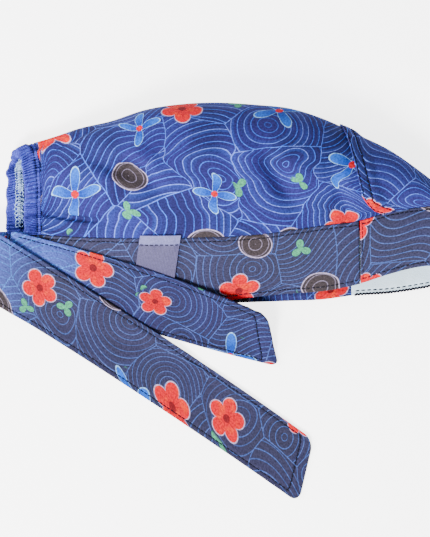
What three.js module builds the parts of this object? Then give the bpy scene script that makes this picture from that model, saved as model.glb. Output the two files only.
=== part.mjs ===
// A tie-back surgical scrub cap, lying on its side on a table as it is laid down after washing.
// +X runs from the nape to the forehead, +Y from the rim to the top of the crown, +Z up from the table.
// The side that lies on the table is called far, and the side on top is called near.
// Every piece is a thin closed sheet, worked out from the sizes and short tables below.
import * as THREE from "three";

// Driving sizes, in millimetres
const crownLength = 266; // from the gathered nape seam to the fold at the forehead
const crownRise = 86; // from the band's seam to the highest point of the crown, seen from above
const puffHeight = 54; // how high the near side stands above the table
const bandHeight = 48; // brow band, from rim to seam
const bandSplit = 204.8; // where the side band is sewn to the front band, from the nape seam
const bandSplitSlant = 1.3; // how far that seam leans back from rim to top
const crownSeamAtBand = 227; // the crown's cross seam, where it meets the band
const crownSeamAtFold = 198; // and where it crosses the top of the crown
const crownLap = 7.5; // how far the front panel is lapped over the back panel
const lapRamp = 6; // length over which a lapped panel comes back down
const crownWall = 1.2;
const bandWall = 2;
const sweatbandWall = 1.6;
const sweatbandShare = 0.84; // of the band's height that the sweatband covers
const sweatbandPast = 5.5; // how far it runs past the front band's seams
const casingWidth = 11; // elastic casing round the nape opening
const casingWall = 3.2;
const casingDraw = 0.09; // how much the elastic draws the opening in, as a share of its height
const napeShift = 12; // how far the far half of the nape sticks out past the near half
const napeShiftFade = 60; // length over which that shift dies out
const tieWall = 1.6;
const labelWidth = 26;
const labelLength = 30;
const labelWall = 0.8;
const labelPlace = 64; // left edge of the label, from the nape seam
const labelAboveSeam = 2.5;
const labelSlant = 0.16; // sideways lean for each millimetre down
const seamGap = 0.6; // between two pieces sewn edge to edge
const crownSeamGap = 1; // and between the crown and the band or casing it is gathered into
const layerGap = 0.4; // between two pieces that lie on each other

// Roundings
const noseLength = 18; // length of the rounding at the forehead fold
const nearRound = 38; // rounding of the near side into the top fold
const farRound = 15; // rounding of the far side off the table
const roundShare = 0.55; // share of a half section's points spent on the rounding
const bandBulge = 2.5; // outward bow of the near band between rim and seam
const drapeSlope = 0.8; // how steeply a tie falls from the rim to the table
const drapeSoftness = 2.4; // how softly it lands

// Sections of the cap, from nape to forehead. at is a share of crownLength; rise of crownRise;
// seam, nearRim and farRim of bandHeight; puff, seamLift, rimLift and fold are heights, of puffHeight.
const sections = [
  { at: 0.0, rise: 0.672, seam: 0.03, nearRim: -0.79, farRim: -0.79, puff: 0.43, seamLift: 0.31, rimLift: 0.13, fold: 0.22 },
  { at: 0.05, rise: 0.742, seam: 0.01, nearRim: -0.81, farRim: -0.82, puff: 0.56, seamLift: 0.37, rimLift: 0.14, fold: 0.24 },
  { at: 0.1, rise: 0.808, seam: -0.005, nearRim: -0.84, farRim: -0.853, puff: 0.68, seamLift: 0.44, rimLift: 0.15, fold: 0.28 },
  { at: 0.17, rise: 0.868, seam: -0.02, nearRim: -0.86, farRim: -0.88, puff: 0.8, seamLift: 0.53, rimLift: 0.17, fold: 0.33 },
  { at: 0.25, rise: 0.953, seam: -0.027, nearRim: -0.867, farRim: -0.893, puff: 0.9, seamLift: 0.61, rimLift: 0.18, fold: 0.37 },
  { at: 0.33, rise: 0.992, seam: -0.025, nearRim: -0.86, farRim: -0.89, puff: 0.96, seamLift: 0.66, rimLift: 0.2, fold: 0.4 },
  { at: 0.42, rise: 1.0, seam: -0.015, nearRim: -0.853, farRim: -0.875, puff: 1.0, seamLift: 0.69, rimLift: 0.21, fold: 0.41 },
  { at: 0.52, rise: 0.965, seam: 0.017, nearRim: -0.787, farRim: -0.858, puff: 0.99, seamLift: 0.7, rimLift: 0.23, fold: 0.41 },
  { at: 0.6, rise: 0.905, seam: 0.076, nearRim: -0.747, farRim: -0.843, puff: 0.97, seamLift: 0.7, rimLift: 0.26, fold: 0.4 },
  { at: 0.68, rise: 0.79, seam: 0.143, nearRim: -0.713, farRim: -0.823, puff: 0.94, seamLift: 0.69, rimLift: 0.29, fold: 0.39 },
  { at: 0.76, rise: 0.645, seam: 0.2, nearRim: -0.627, farRim: -0.763, puff: 0.88, seamLift: 0.67, rimLift: 0.32, fold: 0.37 },
  { at: 0.84, rise: 0.452, seam: 0.333, nearRim: -0.487, farRim: -0.733, puff: 0.75, seamLift: 0.63, rimLift: 0.36, fold: 0.33 },
  { at: 0.92, rise: 0.245, seam: 0.396, nearRim: -0.387, farRim: -0.667, puff: 0.62, seamLift: 0.57, rimLift: 0.38, fold: 0.295 },
  { at: 0.97, rise: 0.109, seam: 0.413, nearRim: -0.42, farRim: -0.61, puff: 0.545, seamLift: 0.53, rimLift: 0.38, fold: 0.275 },
  { at: 1.0, rise: 0.0, seam: 0.427, nearRim: -0.573, farRim: -0.573, puff: 0.51, seamLift: 0.51, rimLift: 0.38, fold: 0.265 },
];

// Folds and dents pressed into the near side. at and long are shares of crownLength, up and wide of
// crownRise, deep of puffHeight; turn is the fold's direction in degrees from +X.
const folds = [
  { at: 0.075, up: 0.7, turn: 30, long: 0.14, wide: 0.04, deep: 0.07 },
  { at: 0.075, up: 0.145, turn: -6, long: 0.15, wide: 0.035, deep: 0.065 },
  { at: 0.225, up: 0.44, turn: -30, long: 0.17, wide: 0.09, deep: 0.085 },
  { at: 0.2, up: 0.3, turn: 62, long: 0.09, wide: 0.07, deep: 0.05 },
  { at: 0.575, up: 0.42, turn: -58, long: 0.15, wide: 0.09, deep: 0.07 },
  { at: 0.4, up: 0.24, turn: 12, long: 0.2, wide: 0.12, deep: 0.04 },
  { at: 0.72, up: 0.3, turn: -66, long: 0.12, wide: 0.06, deep: 0.05 },
];

// Gathers drawn up by the elastic
const crownGathers = 10;
const crownGatherDepth = 2.6;
const crownGatherFade = 20; // how far they run into the crown
const casingGathers = 16;
const casingGatherDepth = 0.8;

// The two ties. Each runs left from its band end, folds over at a crease and comes back to the right.
// Directions are in degrees below +X, and slant says how much longer the lower edge is at the tip.
const ties = {
  near: {
    width: 38,
    rootLength: 7,
    rootTop: -2, // upper edge of its sewn end, below the band's seam
    heading: 14.5,
    bend: 6,
    runLength: 176,
    narrowing: 0.3, // how much narrower the tip looks from above, being tilted
    curl: 14, // how far the tip's upper edge lifts
    slant: 0.45,
  },
  far: {
    width: 39.5,
    rootLength: 12,
    rootTop: -2.8,
    heading: 31,
    bend: 4.5,
    runLength: 246,
    narrowing: 0.02,
    curl: 0,
    slant: 0.4,
  },
};
const tipCorner = 5; // rounding of the ties' corners
const creaseRise = 4.4; // how far the near tie's upper layer stands over its lower one at the crease
const creaseFade = 26; // length over which it comes down onto the band

const degrees = Math.PI / 180;
const smooth = THREE.MathUtils.smoothstep;
const mix = THREE.MathUtils.lerp;

// One column of the section table as a smooth curve over the length of the cap.
function along(column, x) {
  const at = THREE.MathUtils.clamp(x / crownLength, 0, 1);
  const last = sections.length - 1;
  let i = 0;
  while (i < last - 1 && sections[i + 1].at < at) i++;
  const slope = (k) => {
    const before = sections[Math.max(k - 1, 0)];
    const after = sections[Math.min(k + 1, last)];
    return (after[column] - before[column]) / (after.at - before.at);
  };
  const a = sections[i];
  const b = sections[i + 1];
  const span = b.at - a.at;
  const t = (at - a.at) / span;
  const h = t * t * (3 - 2 * t);
  return (
    mix(a[column], b[column], h) +
    span * (t * (1 - t) * (1 - t) * slope(i) - t * t * (1 - t) * slope(i + 1))
  );
}

const seamY = (x) => along("seam", x) * bandHeight;
const nearRimY = (x) => along("nearRim", x) * bandHeight;
const farRimY = (x) => along("farRim", x) * bandHeight;
const farSeamY = (x) => farRimY(x) + bandHeight;
const foldY = (x) => seamY(x) + along("rise", x) * crownRise;
const height = (column, x) => along(column, x) * puffHeight;
const farHeight = bandWall / 2;

// How much of its full height the cap keeps at x: 1, falling in a quarter round to 0 at the forehead.
function nose(x) {
  const past = Math.max(0, x - (crownLength - noseLength)) / noseLength;
  return Math.sqrt(Math.max(0, 1 - past * past));
}

// How deep the folds press the near side down at a place seen from above.
function pressed(x, y) {
  let depth = 0;
  for (const fold of folds) {
    const dx = x - fold.at * crownLength;
    const dy = y - fold.up * crownRise;
    const turn = fold.turn * degrees;
    const run = (dx * Math.cos(turn) + dy * Math.sin(turn)) / (fold.long * crownLength * 0.5);
    const across = (dy * Math.cos(turn) - dx * Math.sin(turn)) / (fold.wide * crownRise);
    depth += fold.deep * puffHeight * Math.exp(-run * run - across * across);
  }
  return depth;
}

// Middle of the crown's cloth: w runs from the near seam (0) over the top fold (0.5) to the far seam (1).
function crown(place, w) {
  const isNear = w <= 0.5;
  const t = isNear ? 2 * w : 2 - 2 * w;
  const fade = Math.max(0, 1 - Math.max(place, 0) / napeShiftFade);
  const x = place - napeShift * smooth(w, 0.25, 0.8) * fade * fade;
  const top = foldY(place) + crownSeamGap;
  const seam = isNear ? seamY(x) + crownSeamGap : Math.min(farSeamY(x) + crownSeamGap, top);
  const round = Math.min(isNear ? nearRound : farRound, 0.8 * (top - seam));
  const straight = Math.min(t / (1 - roundShare), 1);
  const turn = Math.max(0, (t - (1 - roundShare)) / roundShare) * (Math.PI / 2);
  const y = mix(seam, top - round, straight) + round * Math.sin(turn);
  const fold = height("fold", place);
  const swell = Math.sin(Math.min(t / 0.62, 1) * (Math.PI / 2));
  const nearZ = mix(height("seamLift", place), height("puff", place), swell) - pressed(place, y);
  const z = fold + ((isNear ? nearZ : farHeight) - fold) * Math.cos(turn) * nose(place);
  return new THREE.Vector3(x, y, z);
}

// Middle of the near band's height above the table, for t from the rim (0) to the seam (1).
function nearBandHeight(x, t) {
  const line = mix(height("rimLift", x), height("seamLift", x), t);
  return line + bandBulge * Math.sin(Math.PI * THREE.MathUtils.clamp(t, 0, 1));
}

// Middle of the band's cloth: around runs from -1 (near) to 1 (far) past the forehead fold at 0.
function band(x, isNear, t) {
  const rim = isNear ? nearRimY(x) : farRimY(x);
  const seam = isNear ? seamY(x) : farSeamY(x);
  const y = mix(rim, seam, t);
  const rimFold = (height("rimLift", x) + farHeight) / 2;
  const fold = mix(rimFold, height("fold", x), t);
  const z = isNear ? nearBandHeight(x, t) - pressed(x, y) : farHeight;
  return new THREE.Vector3(x, y, fold + (z - fold) * nose(x));
}

// A place on the ring round the forehead: share 0 is at start on the near side, 1 at start on the far side.
function roundForehead(share, start, t) {
  const isNear = share <= 0.5;
  const part = isNear ? 2 * share : 2 - 2 * share;
  const straightEnd = crownLength - noseLength;
  const from = start - bandSplitSlant * t;
  const x =
    part < 0.5
      ? mix(from, straightEnd, part / 0.5)
      : straightEnd + noseLength * Math.sin((part - 0.5) * Math.PI);
  return band(x, isNear, t);
}

// The crown's cross seam, from the near band over the top fold to the far band.
function crownSeam(w) {
  return mix(crownSeamAtFold, crownSeamAtBand, Math.pow(Math.abs(2 * w - 1), 1.3));
}

// 1 where the front panel lies over the back panel, 0 on the table side, where it lies at its level.
const lapsOutside = (w) => 1 - smooth(w, 0.5, 0.62);
const lapStep = crownWall + layerGap;

// A closed sheet of the given wall, round the middle surface point(u, v), raised by lift(u, v).
// u and v run from 0 to 1, and u cross v points out. With closesAtEnd, u = 1 is a single point.
function sheet(name, colour, { across, down, point, wall, lift = () => 0, closesAtEnd = false }) {
  const middle = [];
  for (let i = 0; i <= across; i++) {
    middle.push([]);
    for (let j = 0; j <= down; j++) middle[i].push(point(i / across, j / down));
  }
  const near = 1e-4;
  const normals = middle.map((row, i) =>
    row.map((_, j) => {
      const u = THREE.MathUtils.clamp(i / across, near, 1 - near);
      const v = THREE.MathUtils.clamp(j / down, near, 1 - near);
      const du = point(u + near, v).sub(point(u - near, v));
      const dv = point(u, v + near).sub(point(u, v - near));
      return du.cross(dv).normalize();
    }),
  );
  if (closesAtEnd) {
    const mean = new THREE.Vector3();
    normals[across - 1].forEach((n) => mean.add(n));
    normals[across].forEach((n) => n.copy(mean).normalize());
  }
  const positions = [];
  const outer = [];
  const inner = [];
  for (let i = 0; i <= across; i++) {
    outer.push([]);
    inner.push([]);
    for (let j = 0; j <= down; j++) {
      const isPole = closesAtEnd && i === across;
      if (isPole && j > 0) {
        outer[i].push(outer[i][0]);
        inner[i].push(inner[i][0]);
        continue;
      }
      const raise = lift(i / across, j / down);
      for (const [side, half] of [
        [outer, wall / 2],
        [inner, -wall / 2],
      ]) {
        side[i].push(positions.length / 3);
        const p = middle[i][j].clone().addScaledVector(normals[i][j], raise + half);
        positions.push(p.x, p.y, p.z);
      }
    }
  }
  const index = [];
  const triangle = (a, b, c) => {
    if (a !== b && b !== c && a !== c) index.push(a, b, c);
  };
  const quad = (a, b, c, d) => {
    triangle(a, b, c);
    triangle(a, c, d);
  };
  for (let i = 0; i < across; i++)
    for (let j = 0; j < down; j++) {
      quad(outer[i][j], outer[i + 1][j], outer[i + 1][j + 1], outer[i][j + 1]);
      quad(inner[i][j], inner[i][j + 1], inner[i + 1][j + 1], inner[i + 1][j]);
    }
  for (let i = 0; i < across; i++) {
    quad(outer[i][0], inner[i][0], inner[i + 1][0], outer[i + 1][0]);
    quad(outer[i][down], outer[i + 1][down], inner[i + 1][down], inner[i][down]);
  }
  for (let j = 0; j < down; j++) {
    quad(outer[0][j], outer[0][j + 1], inner[0][j + 1], inner[0][j]);
    if (!closesAtEnd) quad(outer[across][j], inner[across][j], inner[across][j + 1], outer[across][j + 1]);
  }
  const geometry = new THREE.BufferGeometry();
  geometry.setAttribute("position", new THREE.Float32BufferAttribute(positions, 3));
  geometry.setIndex(index);
  geometry.computeVertexNormals();
  const material = new THREE.MeshStandardMaterial({ color: colour, roughness: 0.9, metalness: 0 });
  const mesh = new THREE.Mesh(geometry, material);
  mesh.name = name;
  return mesh;
}

const crownBlue = 0x3a4b9e;
const bandBlue = 0x4a4e72;
const tieBlue = 0x4d5580;
const towelWhite = 0xdce8fb;
const labelGrey = 0xb4b6cc;

// Back panel of the crown, gathered into the nape casing
function crownBack() {
  const place = (u, w) => {
    const lapStart = crownSeam(w) - crownLap - layerGap;
    if (u <= 9 / 11) return (lapStart - lapRamp) * Math.pow((u * 11) / 9, 1.25);
    if (u <= 10 / 11) return lapStart - lapRamp * (10 - 11 * u);
    return lapStart + crownLap * (11 * u - 10);
  };
  return sheet("crown_back", crownBlue, {
    across: 22,
    down: 40,
    wall: crownWall,
    point: (u, v) => crown(place(u, v), v),
    lift: (u, v) => {
      const gather = Math.cos(2 * Math.PI * crownGathers * v) - 1;
      const drawn = crownGatherDepth * 0.5 * gather * Math.exp(-place(u, v) / crownGatherFade);
      return drawn - lapStep * (1 - lapsOutside(v)) * smooth(u, 9 / 11, 10 / 11);
    },
  });
}

// Front panel of the crown, lapped over the back panel and closed at the forehead
function crownFront() {
  const start = (w) => crownSeam(w) - crownLap;
  const place = (u, w) =>
    u < 0.2
      ? mix(start(w), crownSeam(w), u / 0.2)
      : mix(crownSeam(w), crownLength, Math.sin(((u - 0.2) / 0.8) * (Math.PI / 2)));
  return sheet("crown_front", crownBlue, {
    across: 15,
    down: 40,
    wall: crownWall,
    closesAtEnd: true,
    point: (u, v) => crown(place(u, v), v),
    lift: (u, v) => {
      const past = place(u, v) - crownSeam(v);
      return lapStep * lapsOutside(v) * (1 - smooth(past, 0.5, lapRamp));
    },
  });
}

// Brow band: two sides and the front
function sideBand(name, isNear) {
  const start = isNear ? -casingWidth : -casingWidth - napeShift;
  return sheet(name, bandBlue, {
    across: 24,
    down: 4,
    wall: bandWall,
    point: (u, v) => {
      const t = isNear ? v : 1 - v;
      return band(mix(start, bandSplit - bandSplitSlant * t - seamGap, u), isNear, t);
    },
  });
}

function frontBand() {
  return sheet("brow_band_front", bandBlue, {
    across: 28,
    down: 4,
    wall: bandWall,
    point: (u, v) => roundForehead(u, bandSplit, v),
  });
}

function sweatband() {
  const inset = bandWall / 2 + 1.5 * layerGap + sweatbandWall / 2;
  return sheet("sweatband", towelWhite, {
    across: 28,
    down: 3,
    wall: sweatbandWall,
    lift: () => -inset,
    point: (u, v) => roundForehead(u, bandSplit - sweatbandPast, mix(0.02, sweatbandShare, v)),
  });
}

// Elastic casing round the nape opening, drawn up in fine gathers
function napeCasing() {
  return sheet("nape_casing", crownBlue, {
    across: 3,
    down: 80,
    wall: casingWall,
    point: (u, v) => {
      const p = crown(0, v);
      const rise = p.y - mix(seamY(0), farSeamY(0), v);
      p.x -= mix(casingWidth, crownSeamGap, u);
      p.y -= rise * casingDraw * (1 - u);
      return p;
    },
    lift: (u, v) => {
      const gather = Math.cos(2 * Math.PI * casingGathers * v) - 1;
      return casingGatherDepth * 0.5 * gather - (casingWall - bandWall) / 2;
    },
  });
}

// Height of the near side's middle at a place seen from above; past the rim it falls on as a drape.
function nearSide(x, y) {
  const at = Math.max(x, -casingWidth);
  const rim = nearRimY(at);
  const seam = seamY(at);
  if (y < rim) return height("rimLift", at) - drapeSlope * (rim - y);
  if (y <= seam) return nearBandHeight(at, (y - rim) / (seam - rim)) - pressed(at, y);
  const straight = (foldY(at) - nearRound - seam) / (1 - roundShare);
  const swell = Math.sin(Math.min((y - seam) / straight / 0.62, 1) * (Math.PI / 2));
  return mix(height("seamLift", at), height("puff", at), swell) - pressed(at, y);
}

// Bare woven label, caught in the stitching along the top of the near band
function label() {
  const raise = (bandWall + labelWall) / 2 + layerGap;
  return sheet("label", labelGrey, {
    across: 5,
    down: 6,
    wall: labelWall,
    lift: () => raise,
    point: (u, v) => {
      const drop = (1 - v) * labelLength;
      const x = labelPlace + u * labelWidth - labelSlant * drop;
      const y = seamY(x) + labelAboveSeam - drop;
      return new THREE.Vector3(x, y, nearSide(x, y));
    },
  });
}

// Height of cloth that lies on a falling line where that is above the table, and else on the table.
const landed = (line) => {
  const floor = tieWall / 2;
  return floor + drapeSoftness * Math.log1p(Math.exp((line - floor) / drapeSoftness));
};

const steep = 1.4; // height between two layers on a slope, as a multiple of the way straight across

// How far a tie's middle lies over the near side's: on it, or on the label, and higher at its crease.
function tieRise(x, y) {
  const onBand = steep * ((bandWall + tieWall) / 2 + layerGap);
  const labelMiddle = labelPlace + labelWidth / 2 - labelSlant * (labelLength / 2);
  const besideLabel = Math.abs(x - labelMiddle) - labelWidth / 2;
  const belowLabel = seamY(x) + labelAboveSeam - labelLength - y;
  const onLabel = (1 - smooth(besideLabel, 4, 12)) * (1 - smooth(belowLabel, 2, 10));
  const crease = 1 - smooth(x, -casingWidth, creaseFade - casingWidth);
  return mix(onBand, creaseRise, crease) + steep * (labelWall + layerGap) * onLabel;
}

const nearTieHeight = (x, y) => landed(nearSide(x, y) + tieRise(x, y));

// A tie's centre line from its crease, seen from above, with the direction across it.
function tieRun(tie, crease, run) {
  const steps = 24;
  const step = run / steps;
  let { x, y } = crease;
  let turn = tie.heading * degrees;
  for (let k = 0; k < steps; k++) {
    turn = (tie.heading + (tie.bend * Math.max(0, step * (k + 0.5))) / tie.runLength) * degrees;
    x += step * Math.cos(turn);
    y -= step * Math.sin(turn);
  }
  return { x, y, turn };
}

// Where the near tie's lower edge runs, so that the far tie can be laid over it.
function overNearTie(x, y) {
  const tie = ties.near;
  const crease = tieCrease(tie, -casingWidth, seamY(0));
  const part = THREE.MathUtils.clamp((x - crease.x) / tie.runLength, 0, 1);
  const at = tieRun(tie, crease, part * tie.runLength);
  const below = (at.y - y) * Math.cos(at.turn) + (at.x - x) * Math.sin(at.turn);
  return 1 - smooth(below - tieHalfWidth(tie, part), 2, 12);
}

const tieHalfWidth = (tie, share) => 0.5 * tie.width * (1 - tie.narrowing * Math.pow(share, 4));

function tieCrease(tie, rootX, rootSeam) {
  return { x: rootX - tie.rootLength, y: rootSeam - tie.rootTop - tie.width / 2 };
}

// Middle of a tie's cloth: u from its sewn end to the tip, v from its lower to its upper edge.
function tiePoint(tie, rootX, rootSeam, lower, upper) {
  const crease = tieCrease(tie, rootX, rootSeam);
  const skew = Math.tan((tie.heading * degrees) / 2);
  return (u, v) => {
    const side = 2 * v - 1;
    const c = (side * tie.width) / 2;
    const creaseX = crease.x + c * skew;
    const creaseY = crease.y + c;
    const low = lower(creaseX, creaseY);
    const roll = (upper(creaseX, creaseY) - low) / 2;
    const turnLength = Math.PI * roll;
    const cut = 1 - Math.abs(side);
    const corner = tipCorner * Math.pow(Math.max(0, 1 - (cut * tie.width) / 2 / tipCorner), 2);
    const reach = tie.runLength - c * tie.slant - corner;
    const shares = [0.08, 0.16];
    if (u <= shares[0]) {
      const x = mix(rootX, creaseX, u / shares[0]);
      return new THREE.Vector3(x, creaseY, lower(x, creaseY));
    }
    if (u <= shares[1]) {
      const turn = (Math.PI * (u - shares[0])) / (shares[1] - shares[0]);
      const x = creaseX - (turnLength / Math.PI) * Math.sin(turn);
      return new THREE.Vector3(x, creaseY, low + roll * (1 - Math.cos(turn)));
    }
    const share = (u - shares[1]) / (1 - shares[1]);
    const start = -c * skew;
    const run = mix(start, reach, share);
    const at = tieRun(tie, crease, run);
    const half = side * tieHalfWidth(tie, Math.max(0, run / tie.runLength));
    const x = at.x + half * Math.sin(at.turn);
    const y = at.y + half * Math.cos(at.turn);
    const lifted = tie.curl * smooth(run / tie.runLength, 0.55, 1) * v * v;
    return new THREE.Vector3(x, y, upper(x, y) + lifted);
  };
}

function nearTie() {
  return sheet("tie_near", tieBlue, {
    across: 44,
    down: 5,
    wall: tieWall,
    point: tiePoint(ties.near, -casingWidth - seamGap, seamY(0), nearSide, nearTieHeight),
  });
}

function farTie() {
  const layer = steep * (tieWall + layerGap);
  const upper = (x, y) => nearTieHeight(x, y) + layer * overNearTie(x, y);
  const rootX = -casingWidth - napeShift - seamGap;
  return sheet("tie_far", tieBlue, {
    across: 48,
    down: 5,
    wall: tieWall,
    point: tiePoint(ties.far, rootX, seamY(0), () => tieWall / 2, upper),
  });
}

const cap = new THREE.Group();
cap.add(
  crownBack(),
  crownFront(),
  sideBand("brow_band_near", true),
  sideBand("brow_band_far", false),
  frontBand(),
  sweatband(),
  napeCasing(),
  label(),
  nearTie(),
  farTie(),
);

// The origin is on the table, under the middle of the cap and its ties.
const box = new THREE.Box3().setFromObject(cap, true);
cap.position.set(-(box.min.x + box.max.x) / 2, -(box.min.y + box.max.y) / 2, -box.min.z);

export default cap;
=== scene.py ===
import math

import bpy
import numpy as np
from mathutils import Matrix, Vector


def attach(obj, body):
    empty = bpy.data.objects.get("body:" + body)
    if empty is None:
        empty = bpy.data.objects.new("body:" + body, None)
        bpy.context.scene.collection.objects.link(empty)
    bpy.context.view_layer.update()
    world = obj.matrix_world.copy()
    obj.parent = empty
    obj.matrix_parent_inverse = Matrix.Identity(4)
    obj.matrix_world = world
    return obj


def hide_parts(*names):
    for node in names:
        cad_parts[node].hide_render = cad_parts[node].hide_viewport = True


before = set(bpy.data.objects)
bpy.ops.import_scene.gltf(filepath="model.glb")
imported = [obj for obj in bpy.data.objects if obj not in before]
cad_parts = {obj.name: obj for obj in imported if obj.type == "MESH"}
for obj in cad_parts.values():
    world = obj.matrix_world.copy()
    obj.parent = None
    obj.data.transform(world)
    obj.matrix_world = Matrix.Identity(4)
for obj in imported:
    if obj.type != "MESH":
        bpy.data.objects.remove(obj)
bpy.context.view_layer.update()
MM = 0.001

# Camera: straight above the cap, with the crown at the top of the picture, as it was photographed.
# It leans back a little towards the rim, and a pixel of that picture is as large as PIXEL on the table.
PIXEL = 0.64 * MM
picture_size = np.array([430.0, 537.0])  # in pixels
nape_place = np.array([-109.22, 40.45, 0.0])  # nape end of the band's seam in the frame, in mm
nape_pixel = np.array([41.0, 238.0])  # the same place in the picture
sensor_height = 24.0
camera_height = 2.6
true_size_height = 0.02  # height over the table at which a pixel is exactly that size
lean_back = 1.5  # degrees

from_nape = (picture_size / 2 - nape_pixel) * PIXEL
middle_x = nape_place[0] * MM + from_nape[0]
middle_y = nape_place[1] * MM - from_nape[1]
lean = math.radians(lean_back)
bpy.ops.object.camera_add(
    location=(middle_x, middle_y - camera_height * math.sin(lean), camera_height * math.cos(lean)),
    rotation=(lean, 0, 0),
)
camera = bpy.context.object
camera.data.sensor_fit = "VERTICAL"
camera.data.sensor_height = sensor_height
camera.data.lens = sensor_height * (camera_height - true_size_height) / (picture_size[1] * PIXEL)
bpy.context.scene.camera = camera

# Floor and light: a plain white table, whose glow lights nothing else, a large soft lamp before the cap
# and to its left, weaker ones at its left and beyond it, and a pale room.
floor_glow = 3.6
lamps = [  # name, place, size and power
    ("key", (-0.55, -0.70, 1.10), 0.5, 58),
    ("left", (-1.10, 0.20, 0.60), 0.5, 26),
    ("far", (0.30, 0.90, 0.80), 0.8, 1.5),
]
room_light = 0.55

bpy.ops.mesh.primitive_plane_add(size=6, location=(0, 0, 0))
floor = bpy.context.object
floor.name = "table"
floor_white = bpy.data.materials.new("table_white")
floor_white.use_nodes = True
floor_shader = floor_white.node_tree.nodes["Principled BSDF"]
floor_shader.inputs["Base Color"].default_value = (0.86, 0.86, 0.87, 1)
floor_shader.inputs["Roughness"].default_value = 0.8
floor_shader.inputs["Emission Color"].default_value = (1, 1, 1, 1)
floor_shader.inputs["Emission Strength"].default_value = floor_glow
floor.data.materials.append(floor_white)
glow_falls_on = bpy.data.collections.new("lit_by_the_glow")
glow_falls_on.objects.link(floor)
floor.light_linking.receiver_collection = glow_falls_on

for name, place, size, power in lamps:
    bpy.ops.object.light_add(type="AREA", location=place)
    lamp = bpy.context.object
    lamp.name = name + "_lamp"
    lamp.data.size = size
    lamp.data.energy = power
    lamp.data.color = (1.0, 0.98, 0.96)
    lamp.rotation_euler = (-Vector(place)).to_track_quat("-Z", "Y").to_euler()

room = bpy.data.worlds.new("pale_room")
room.use_nodes = True
room.node_tree.nodes["Background"].inputs["Color"].default_value = (0.93, 0.95, 1.0, 1)
room.node_tree.nodes["Background"].inputs["Strength"].default_value = room_light
bpy.context.scene.world = room

# Crown: a soft pouch of printed cotton in two panels, gathered at the nape, with the front panel
# lapped over the back one and topstitched. It lies on its far side, and its near side is puffed up.
# Sizes are in mm here and below, x runs from the nape to the forehead, and y up from the seam.
crown_length = 266.0
crown_rise = 86.0
puff_height = 54.0
band_height = 48.0
crown_seam_at_band = 227.0  # the cross seam between the two panels, from the nape
crown_seam_at_fold = 198.0
seam_bow = 1.3  # how round it runs from one to the other
crown_lap = 7.5
lap_ramp = 6.0  # length over which a panel steps up or down beside the lap
crown_wall = 1.2
band_wall = 2.0
nape_shift = 12.0  # how much further left the far side ends at the nape
nape_shift_fade = 60.0
seam_gap = 0.6
crown_seam_gap = 0.3
layer_gap = 0.4
nose_length = 18.0  # the rounded forehead end
near_round = 38.0  # radii beside the top fold
far_round = 15.0
round_share = 0.55  # how much of the way from a seam to the top fold is rounded
swell_share = 0.62  # how far along that way the near side is at its highest
band_bulge = 2.5
far_height = band_wall / 2
table_gap = 0.02

# Sections from nape to forehead: shares of the sizes above, as in the source of the solids.
section_columns = ("at", "rise", "seam", "near_rim", "far_rim", "puff", "seam_lift", "rim_lift", "fold")
sections = np.array([
    (0.00, 0.672, 0.030, -0.790, -0.790, 0.430, 0.31, 0.13, 0.220),
    (0.05, 0.742, 0.010, -0.810, -0.820, 0.560, 0.37, 0.14, 0.240),
    (0.10, 0.808, -0.005, -0.840, -0.853, 0.680, 0.44, 0.15, 0.280),
    (0.17, 0.868, -0.020, -0.860, -0.880, 0.800, 0.53, 0.17, 0.330),
    (0.25, 0.953, -0.027, -0.867, -0.893, 0.900, 0.61, 0.18, 0.370),
    (0.33, 0.992, -0.025, -0.860, -0.890, 0.960, 0.66, 0.20, 0.400),
    (0.42, 1.000, -0.015, -0.853, -0.875, 1.000, 0.69, 0.21, 0.410),
    (0.52, 0.965, 0.017, -0.787, -0.858, 0.990, 0.70, 0.23, 0.410),
    (0.60, 0.905, 0.076, -0.747, -0.843, 0.970, 0.70, 0.26, 0.400),
    (0.68, 0.790, 0.143, -0.713, -0.823, 0.940, 0.69, 0.29, 0.390),
    (0.76, 0.645, 0.200, -0.627, -0.763, 0.880, 0.67, 0.32, 0.370),
    (0.84, 0.452, 0.333, -0.487, -0.733, 0.750, 0.63, 0.36, 0.330),
    (0.92, 0.245, 0.396, -0.387, -0.667, 0.620, 0.57, 0.38, 0.295),
    (0.97, 0.109, 0.413, -0.420, -0.610, 0.545, 0.53, 0.38, 0.275),
    (1.00, 0.000, 0.427, -0.573, -0.573, 0.510, 0.51, 0.38, 0.265),
])

# Large folds, each by where it lies along and up, its turn in degrees, and how long, wide and deep it is:
# along and long are shares of the crown's length, up and wide of its rise, deep of its height.
folds = [
    (0.075, 0.700, 30, 0.14, 0.040, 0.070),
    (0.075, 0.145, -6, 0.15, 0.035, 0.065),
    (0.225, 0.440, -30, 0.17, 0.090, 0.085),
    (0.200, 0.300, 62, 0.09, 0.070, 0.050),
    (0.575, 0.420, -58, 0.15, 0.090, 0.070),
    (0.400, 0.240, 12, 0.20, 0.120, 0.040),
    (0.720, 0.300, -66, 0.12, 0.060, 0.050),
]


def along(column, x):
    """One column of the section table as a smooth curve over the length of the cap."""
    at, value = sections[:, 0], sections[:, section_columns.index(column)]
    slope = np.empty_like(value)
    slope[1:-1] = (value[2:] - value[:-2]) / (at[2:] - at[:-2])
    slope[0] = (value[1] - value[0]) / (at[1] - at[0])
    slope[-1] = (value[-1] - value[-2]) / (at[-1] - at[-2])
    share = np.clip(np.asarray(x, float) / crown_length, 0, 1)
    i = np.clip(np.searchsorted(at, share, side="left") - 1, 0, len(at) - 2)
    span = at[i + 1] - at[i]
    t = (share - at[i]) / span
    h = t * t * (3 - 2 * t)
    bend = t * (1 - t) * (1 - t) * slope[i] - t * t * (1 - t) * slope[i + 1]
    return value[i] * (1 - h) + value[i + 1] * h + span * bend


def smooth(value, low, high):
    """0 below low, 1 above high, and a smooth step between."""
    t = np.clip((value - low) / (high - low), 0, 1)
    return t * t * (3 - 2 * t)


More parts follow.
